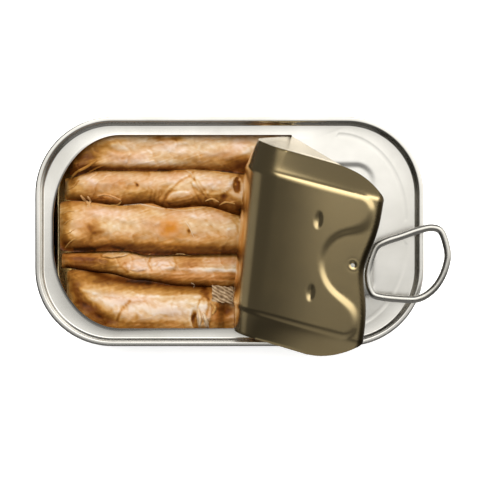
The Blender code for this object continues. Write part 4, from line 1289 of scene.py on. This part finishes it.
def filletSurface(number, x, around):
    # points of a fillet's skin in millimetres, with its tone, pinkness and stain
    left, right, crest, lean, slant, period = fish["pieces"][number][1:]
    low, high = filletSpan(number, x)
    fromEnd = np.minimum(np.minimum(x - left, right - x) / fish["endRound"], 1.0)
    swell = (1 - (1 - fromEnd) ** fish["endPower"]) ** (1 / fish["endPower"])
    flat, rise = np.cos(around), np.sin(around)
    power = np.where(rise > 0, fish["topPower"], fish["underPower"])
    half = (high - low) / 2 * (fish["endWidth"] + (1 - fish["endWidth"]) * swell)
    s = np.sign(flat) * np.abs(flat) ** (2 / power)
    y = (high + low) / 2 + half * s
    lump = sum(noiseField(x, y, size, fish["lumpSeed"] * number + layer)
               for layer, size in enumerate(fish["lumps"]))
    top = np.full_like(x, crest)
    if number == fish["brokenPiece"]:
        top -= fish["brokenDrop"] * smoothStep((x - fish["brokenX"]) / fish["brokenReach"])
    shoulder = fish["floorGap"] + (top - fish["floorGap"]) * fish["shoulder"]
    arch = np.minimum(np.abs(rise) ** (2 / power) * (1.0 + fish["leanTilt"] * (lean - 0.5) * flat), 1.0)
    upper = shoulder + (top - shoulder) * swell * arch
    under = shoulder - (shoulder - fish["floorGap"]) * np.abs(rise) ** (2 / power)
    slantX, slantY = fish["fibreSlant"]
    fibre = noiseField(x + slantX * y, y - slantY * x, fish["fibres"], noiseSeeds["fibres"] + number)
    height = fibre + sum(noiseField(x, y, size, seed + number)
                         for size, seed in zip(fish["grains"], noiseSeeds["grains"]))
    height += fish["flakeRise"] * flakeSteps(x, y, noiseSeeds["flakes"] + number, math.radians(slant), period)
    if number == fish["ribbedPiece"]:
        height += noiseField(x, y, fish["ribs"], noiseSeeds["ribs"])
    # painted shade: each fillet darker towards its sides, partly for its brown flesh, and darker on its front
    # side, turned from the light
    tone = fish["tone"] - fish["sideShade"] * np.abs(s) ** fish["sideSharpness"]
    tone -= fish["frontShade"] * smoothStep(-s * fish["frontSpread"])
    blush = fish["blush"] + noiseField(x, y, fish["blushNoise"], noiseSeeds["blush"] + number)
    tone, blush, height = addMarks(number, x, y, tone, blush, height)
    relief = flakeHeight(number, x, y) + height
    # painted shade: the relief's hollows darker and its humps lighter than the flesh around them
    tone += np.clip(fish["paintedHollowShade"] * (relief - blurred(relief, *fish["hollowShadeWindow"])), *fish["hollowShadeLimits"])
    tone += noiseField(x, y, fish["toneNoise"], noiseSeeds["tone"] + number)
    tone += fish["fibreTone"] * fibre / fish["fibres"][2]
    z = upper + (lump + relief) * np.maximum(rise, 0.0) ** fish["surfaceShare"]
    filled = top - fish["creaseDepth"] * (1 + noiseField(x, y, fish["creaseNoise"], noiseSeeds["creases"]))
    filled += fish["creaseRelief"] * (lump + relief)
    filled += fish["creaseBlend"] * np.logaddexp(0.0, (z - filled) / fish["creaseBlend"])
    z = np.where(rise > fish["creaseFrom"], filled, np.where(rise > 0, z, under))
    stain = np.zeros_like(x)
    if number == fish["stainedPiece"]:
        away = spot(x, y, fish["stainPlace"], fish["stainSize"])
        away += noiseField(x, y, fish["stainRagged"], noiseSeeds["stain"])
        stain = fish["stain"] * hollow(away, 1.0)
    return y, z, np.clip(tone, 0.0, 1.0), np.clip(blush, 0.0, 1.0), stain


def filletStations(left, right):
    # cross sections close together where the fillet shows, and closest at its rounded ends
    shown = (np.arange(fish["shownStations"]) + fish["shownShift"]) / fish["shownStations"]
    hidden = (np.arange(fish["hiddenStations"]) + fish["hiddenShift"]) / fish["hiddenStations"]
    toX = fish["shownToX"]
    return np.concatenate([left + (toX - left) * shown ** fish["shownCrowding"],
                           right - (right - toX) * (1 - hidden) ** fish["hiddenCrowding"]])


def smoothRun(line, steps):
    # open smooth line through the points
    ends = [2 * line[0] - line[1], *line, 2 * line[-1] - line[-2]]
    run = [line[0]]
    for before, start, end, after in zip(ends, ends[1:], ends[2:], ends[3:]):
        run.extend(splinePoint(before, start, end, after, (step + 1) / steps) for step in range(steps))
    return run


def addStrand(build, layer, radius, tone, blush, route, ground):
    # a thin tapering thread of flesh that lies on the fillets
    line = smoothRun([Vector((*onFish(point), 0.0)) for point in route], strandForm["steps"])
    rows = []
    for index, centre in enumerate(line):
        near = np.argmin((ground[0] - centre.x) ** 2 + (ground[1] - centre.y) ** 2)
        ahead = (line[min(index + 1, len(line) - 1)] - line[max(index - 1, 0)]).normalized()
        aside = Vector((ahead.y, -ahead.x, 0.0))
        share = (index + strandForm["tip"]) / (len(line) - 1 + 2 * strandForm["tip"])
        size = radius * math.sqrt(math.sin(math.pi * share))
        bumpy = noise.noise((*(centre.xy * strandForm["bumpScale"]), noiseSeeds["strands"]))
        size *= 1 + strandForm["bumps"] * bumpy
        row = []
        for side in range(strandForm["sides"]):
            angle = math.tau * side / strandForm["sides"]
            rise = size * (strandForm["lift"] + strandForm["roundness"] * math.sin(angle))
            row.append(centre + aside * size * math.cos(angle) + Vector((0.0, 0.0, ground[2][near] + rise)))
        rows.append(row)
    rows = addRings(build, rows)
    build.faces.new(rows[0])
    build.faces.new(rows[-1])
    for vertex in (vertex for row in rows for vertex in row):
        vertex[layer] = (tone, blush, 0.0, 1.0)


def makeFillets(flesh):
    surfaces = []
    for number, piece in enumerate(fish["pieces"]):
        upper = np.pi * np.arange(fish["topSides"]) / fish["topSides"]
        lower = np.pi + np.pi * np.arange(fish["underSides"]) / fish["underSides"]
        x, turn = np.meshgrid(filletStations(*piece[1:3]), np.concatenate([upper, lower]), indexing="ij")
        surfaces.append((x, *filletSurface(number, x, turn)))
    ground = [np.concatenate([surface[axis][:, 1:fish["topSides"]].ravel() for surface in surfaces])
              for axis in range(3)]
    for number, (x, y, z, tone, blush, stain) in enumerate(surfaces):
        build = bmesh.new()
        layer = build.verts.layers.float_color.new("fleshTone")
        rows = addRings(build, np.stack([x, y, z], 2).tolist())
        for row, tones, blushes, stains in zip(rows, tone.tolist(), blush.tolist(), stain.tolist()):
            for vertex, *values in zip(row, tones, blushes, stains):
                vertex[layer] = (*values, 1.0)
        build.faces.new(rows[0])
        build.faces.new(rows[-1])
        name = fish["pieces"][number][0]
        for strand in strands[name]:
            addStrand(build, layer, *strand, ground)
        bmesh.ops.recalc_face_normals(build, faces=build.faces)
        piece = newPiece("flesh_" + name, build, [flesh], sharpAngle=75.0)
        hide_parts("fillet_" + name)


# the loose scrap of skin over the break
scrap = {
    "from": (-4.8, -19.4),
    "to": (0.9, -15.0),
    "thickness": 0.35,
    "columns": 130,
    "rows": 104,
    "lean": 0.7,
    "stripe": 0.85,
    "slant": math.radians(-30.0),
    "stripeRise": 0.05,
    "sink": 0.15,
    "tone": 0.5,
    "stripeTone": 0.26,
    # noise: lumps to a millimetre, or to the whole scrap for its edge, strength and seed
    "edge": (5.0, 0.35, 2.0),
    "stripeBend": (0.6, 0.35, 4.0),
    "stripeRagged": (2.5, 0.12, 5.0),
    "wave": (0.5, 0.25, 8.0),
    "mottle": (1.1, 0.4, 1.0),
}


def makeSkinScrap(skin):
    low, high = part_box("skin_scrap")
    low, high = low / mm, high / mm
    columns, rows = scrap["columns"], scrap["rows"]
    middle = (low.z + high.z) / 2
    (left, front), (right, back) = scrap["from"], scrap["to"]

    def noiseAt(name, u, v):
        scale, strength, seed = scrap[name]
        return strength * noise.noise((u * scale, v * scale, seed))

    build = bmesh.new()
    layer = build.verts.layers.float_color.new("fleshTone")
    grid = []
    for row in range(rows + 1):
        line = []
        for column in range(columns + 1):
            across, up = column / columns, row / rows
            ragged = noiseAt("edge", across, up)
            x = left + (right - left) * across + ragged
            y = front + (back - front) * up + ragged - scrap["lean"] * (across - 0.5)
            phase = (y * math.cos(scrap["slant"]) - x * math.sin(scrap["slant"])) / scrap["stripe"]
            phase += noiseAt("stripeBend", x, y) + noiseAt("stripeRagged", x, y)
            wave = math.cos(math.tau * phase)
            z = middle - scrap["sink"] + scrap["stripeRise"] * wave + noiseAt("wave", x, y)
            vertex = build.verts.new((x, y, z))
            value = scrap["tone"] + scrap["stripeTone"] * wave + noiseAt("mottle", x, y)
            vertex[layer] = (min(max(value, 0.0), 1.0), 0.0, 0.0, 1.0)
            line.append(vertex)
        grid.append(line)
    for lower, upper in zip(grid, grid[1:]):
        for column in range(columns):
            build.faces.new((lower[column], lower[column + 1], upper[column + 1], upper[column]))
    build.normal_update()
    addThickness(build, scrap["thickness"], innerSlot=0, rimSlot=0)
    piece = newPiece("skinScrap", build, [skin])
    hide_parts("skin_scrap")


# the photograph looks straight down on the tin; lengths in millimetres
view = {
    "cameraX": 3.53,
    "cameraY": -2.97,
    "overLid": 380.0,
    "widthSeen": 132.05,
    "sensor": 36.0,
    "clipStart": 10.0,
}


def makeCamera():
    data = bpy.data.cameras.new("photoCamera")
    data.sensor_width = view["sensor"]
    data.lens = view["sensor"] * view["overLid"] / view["widthSeen"]
    data.clip_start = view["clipStart"] * mm
    camera = bpy.data.objects.new("photoCamera", data)
    height = tin["ledgeHeight"] + view["overLid"]
    camera.location = (view["cameraX"] * mm, view["cameraY"] * mm, height * mm)
    bpy.context.collection.objects.link(camera)
    bpy.context.scene.camera = camera


# the studio: what the metal mirrors is a bright ceiling behind the tin with a brighter strip across it, a
# dark side in front, a darker strip low in front and a faint glow at the left; the soft light above isn't
# mirrored
studio = {
    "colour": "#FFFEFA",
    "bright": 1.55,
    "fill": 0.2,
    "dark": 0.08,
    "horizon": 0.25,
    "leftGlow": 0.26,
    "frontEdge": (-0.17, 0.12),
    "backEdge": (0.88, 0.6),
    "stripEdge": (0.22, 0.42),
    "stripBoost": 1.7,
    "lowEdge": (0.3, 0.62),
    "rightLow": (0.3, 0.45),
    "rightShare": 0.6,
    "leftEdge": (-0.42, -0.17),
    "leftRim": (-0.93, -0.99),
    "glowEdge": (-0.55, -0.8),
    "shadeEdge": (-0.22, -0.42),
    "shadeLeft": 0.5,
    "sideways": 0.12,
    "softPlace": (-0.15, 0.42, 1.05),
    "softSize": 1.0,
    "softPower": 19.5,
    "floorReach": 1.5,
}


def makeStudio():
    world = bpy.data.worlds.new("studioRoom")
    bpy.context.scene.world = world
    world.use_nodes = True
    tree = world.node_tree
    background = tree.nodes["Background"]
    place = addNode(tree, "ShaderNodeTexCoord").outputs["Generated"]
    split = addNode(tree, "ShaderNodeSeparateXYZ", {}, {"Vector": place})
    sideways = addNode(tree, "ShaderNodeMath", {"operation": "MULTIPLY_ADD", 1: studio["sideways"]},
                       {0: split.outputs[0], 2: split.outputs[1]})
    sides = {}
    for edge, source, low, high in (
            ("frontEdge", sideways.outputs[0], 0.0, 1.0), ("backEdge", split.outputs[1], 0.0, 1.0),
            ("lowEdge", split.outputs[2], 0.0, 1.0), ("leftEdge", split.outputs[0], 0.0, 1.0),
            ("glowEdge", split.outputs[1], 0.0, 1.0),
            ("rightLow", split.outputs[0], 0.0, studio["rightShare"]),
            ("stripEdge", split.outputs[1], 0.0, studio["stripBoost"] - 1.0),
            ("shadeEdge", split.outputs[1], 1.0, studio["shadeLeft"]),
            ("leftRim", split.outputs[0], 0.0, studio["leftGlow"])):
        sides[edge] = addNode(tree, "ShaderNodeMapRange", {
            "interpolation_type": "SMOOTHSTEP", "From Min": studio[edge][0], "From Max": studio[edge][1],
            "To Min": low, "To Max": high}, {"Value": source}).outputs[0]
    skyward = addNode(tree, "ShaderNodeMath", {"operation": "MAXIMUM"},
                      {0: sides["lowEdge"], 1: sides["rightLow"]})
    overhead = addNode(tree, "ShaderNodeMath", {"operation": "MULTIPLY_ADD", 2: 1.0},
                       {0: sides["stripEdge"], 1: sides["lowEdge"]})
    share = sides["frontEdge"]
    for factor in (sides["backEdge"], skyward.outputs[0], overhead.outputs[0]):
        share = addNode(tree, "ShaderNodeMath", {"operation": "MULTIPLY"}, {0: share, 1: factor}).outputs[0]
    lit = addNode(tree, "ShaderNodeMath", {
        "operation": "MULTIPLY_ADD", 1: studio["bright"] - studio["fill"],
        2: studio["fill"] - studio["dark"]}, {0: share})
    ceiling = addNode(tree, "ShaderNodeMath", {"operation": "MULTIPLY_ADD", 2: studio["dark"]},
                      {0: sides["leftEdge"], 1: lit.outputs[0]})
    shaded = addNode(tree, "ShaderNodeMath", {"operation": "MULTIPLY"},
                     {0: ceiling.outputs[0], 1: sides["shadeEdge"]})
    level = addNode(tree, "ShaderNodeMix", {3: studio["horizon"]},
                    {0: sides["glowEdge"], 2: shaded.outputs[0]})
    level = addNode(tree, "ShaderNodeMath", {"operation": "MAXIMUM"},
                    {0: level.outputs[0], 1: sides["leftRim"]})
    tree.links.new(level.outputs[0], background.inputs["Strength"])
    background.inputs["Color"].default_value = linearColour(studio["colour"])
    soft = bpy.data.lights.new("overheadSoftbox", "AREA")
    soft.energy = studio["softPower"]
    soft.size = studio["softSize"]
    lamp = bpy.data.objects.new("overheadSoftbox", soft)
    lamp.location = studio["softPlace"]
    lamp.rotation_euler = (-Vector(studio["softPlace"])).to_track_quat("-Z", "Y").to_euler()
    lamp.visible_glossy = False
    bpy.context.collection.objects.link(lamp)
    bpy.context.scene.view_settings.view_transform = "Standard"


def makeFloor():
    build = bmesh.new()
    bmesh.ops.create_grid(build, x_segments=1, y_segments=1, size=studio["floorReach"])
    mesh = bpy.data.meshes.new("studioFloor")
    build.to_mesh(mesh)
    build.free()
    mesh.materials.append(makeStudioFloor())
    floor = bpy.data.objects.new("studioFloor", mesh)
    floor.visible_glossy = False
    bpy.context.collection.objects.link(floor)


makeCamera()
makeStudio()
makeFloor()
print("camera, lights and floor placed")

outsideTinplate = makeTinplate("brightTinplate", "#DEDCD7", 0.2)
lidTinplate = makeTinplate("satinTinplate", "#E6E4E0", 0.17)
ringSteel = makeTinplate("tinnedRingSteel", "#BDBBB6", 0.27)
goldLacquer = makeGoldLacquer()
makeCanShell(outsideTinplate, goldLacquer)
print("can body drawn")

makeLid(lidTinplate, goldLacquer, makeTornSteel())
print("lid seamed, torn and curled")

makeRing(ringSteel)
print("ring pull bent")

mackerelFlesh = makeMackerelFlesh()
makeFillets(mackerelFlesh)
makeSkinScrap(makeMackerelSkin())
print("fillets laid in")
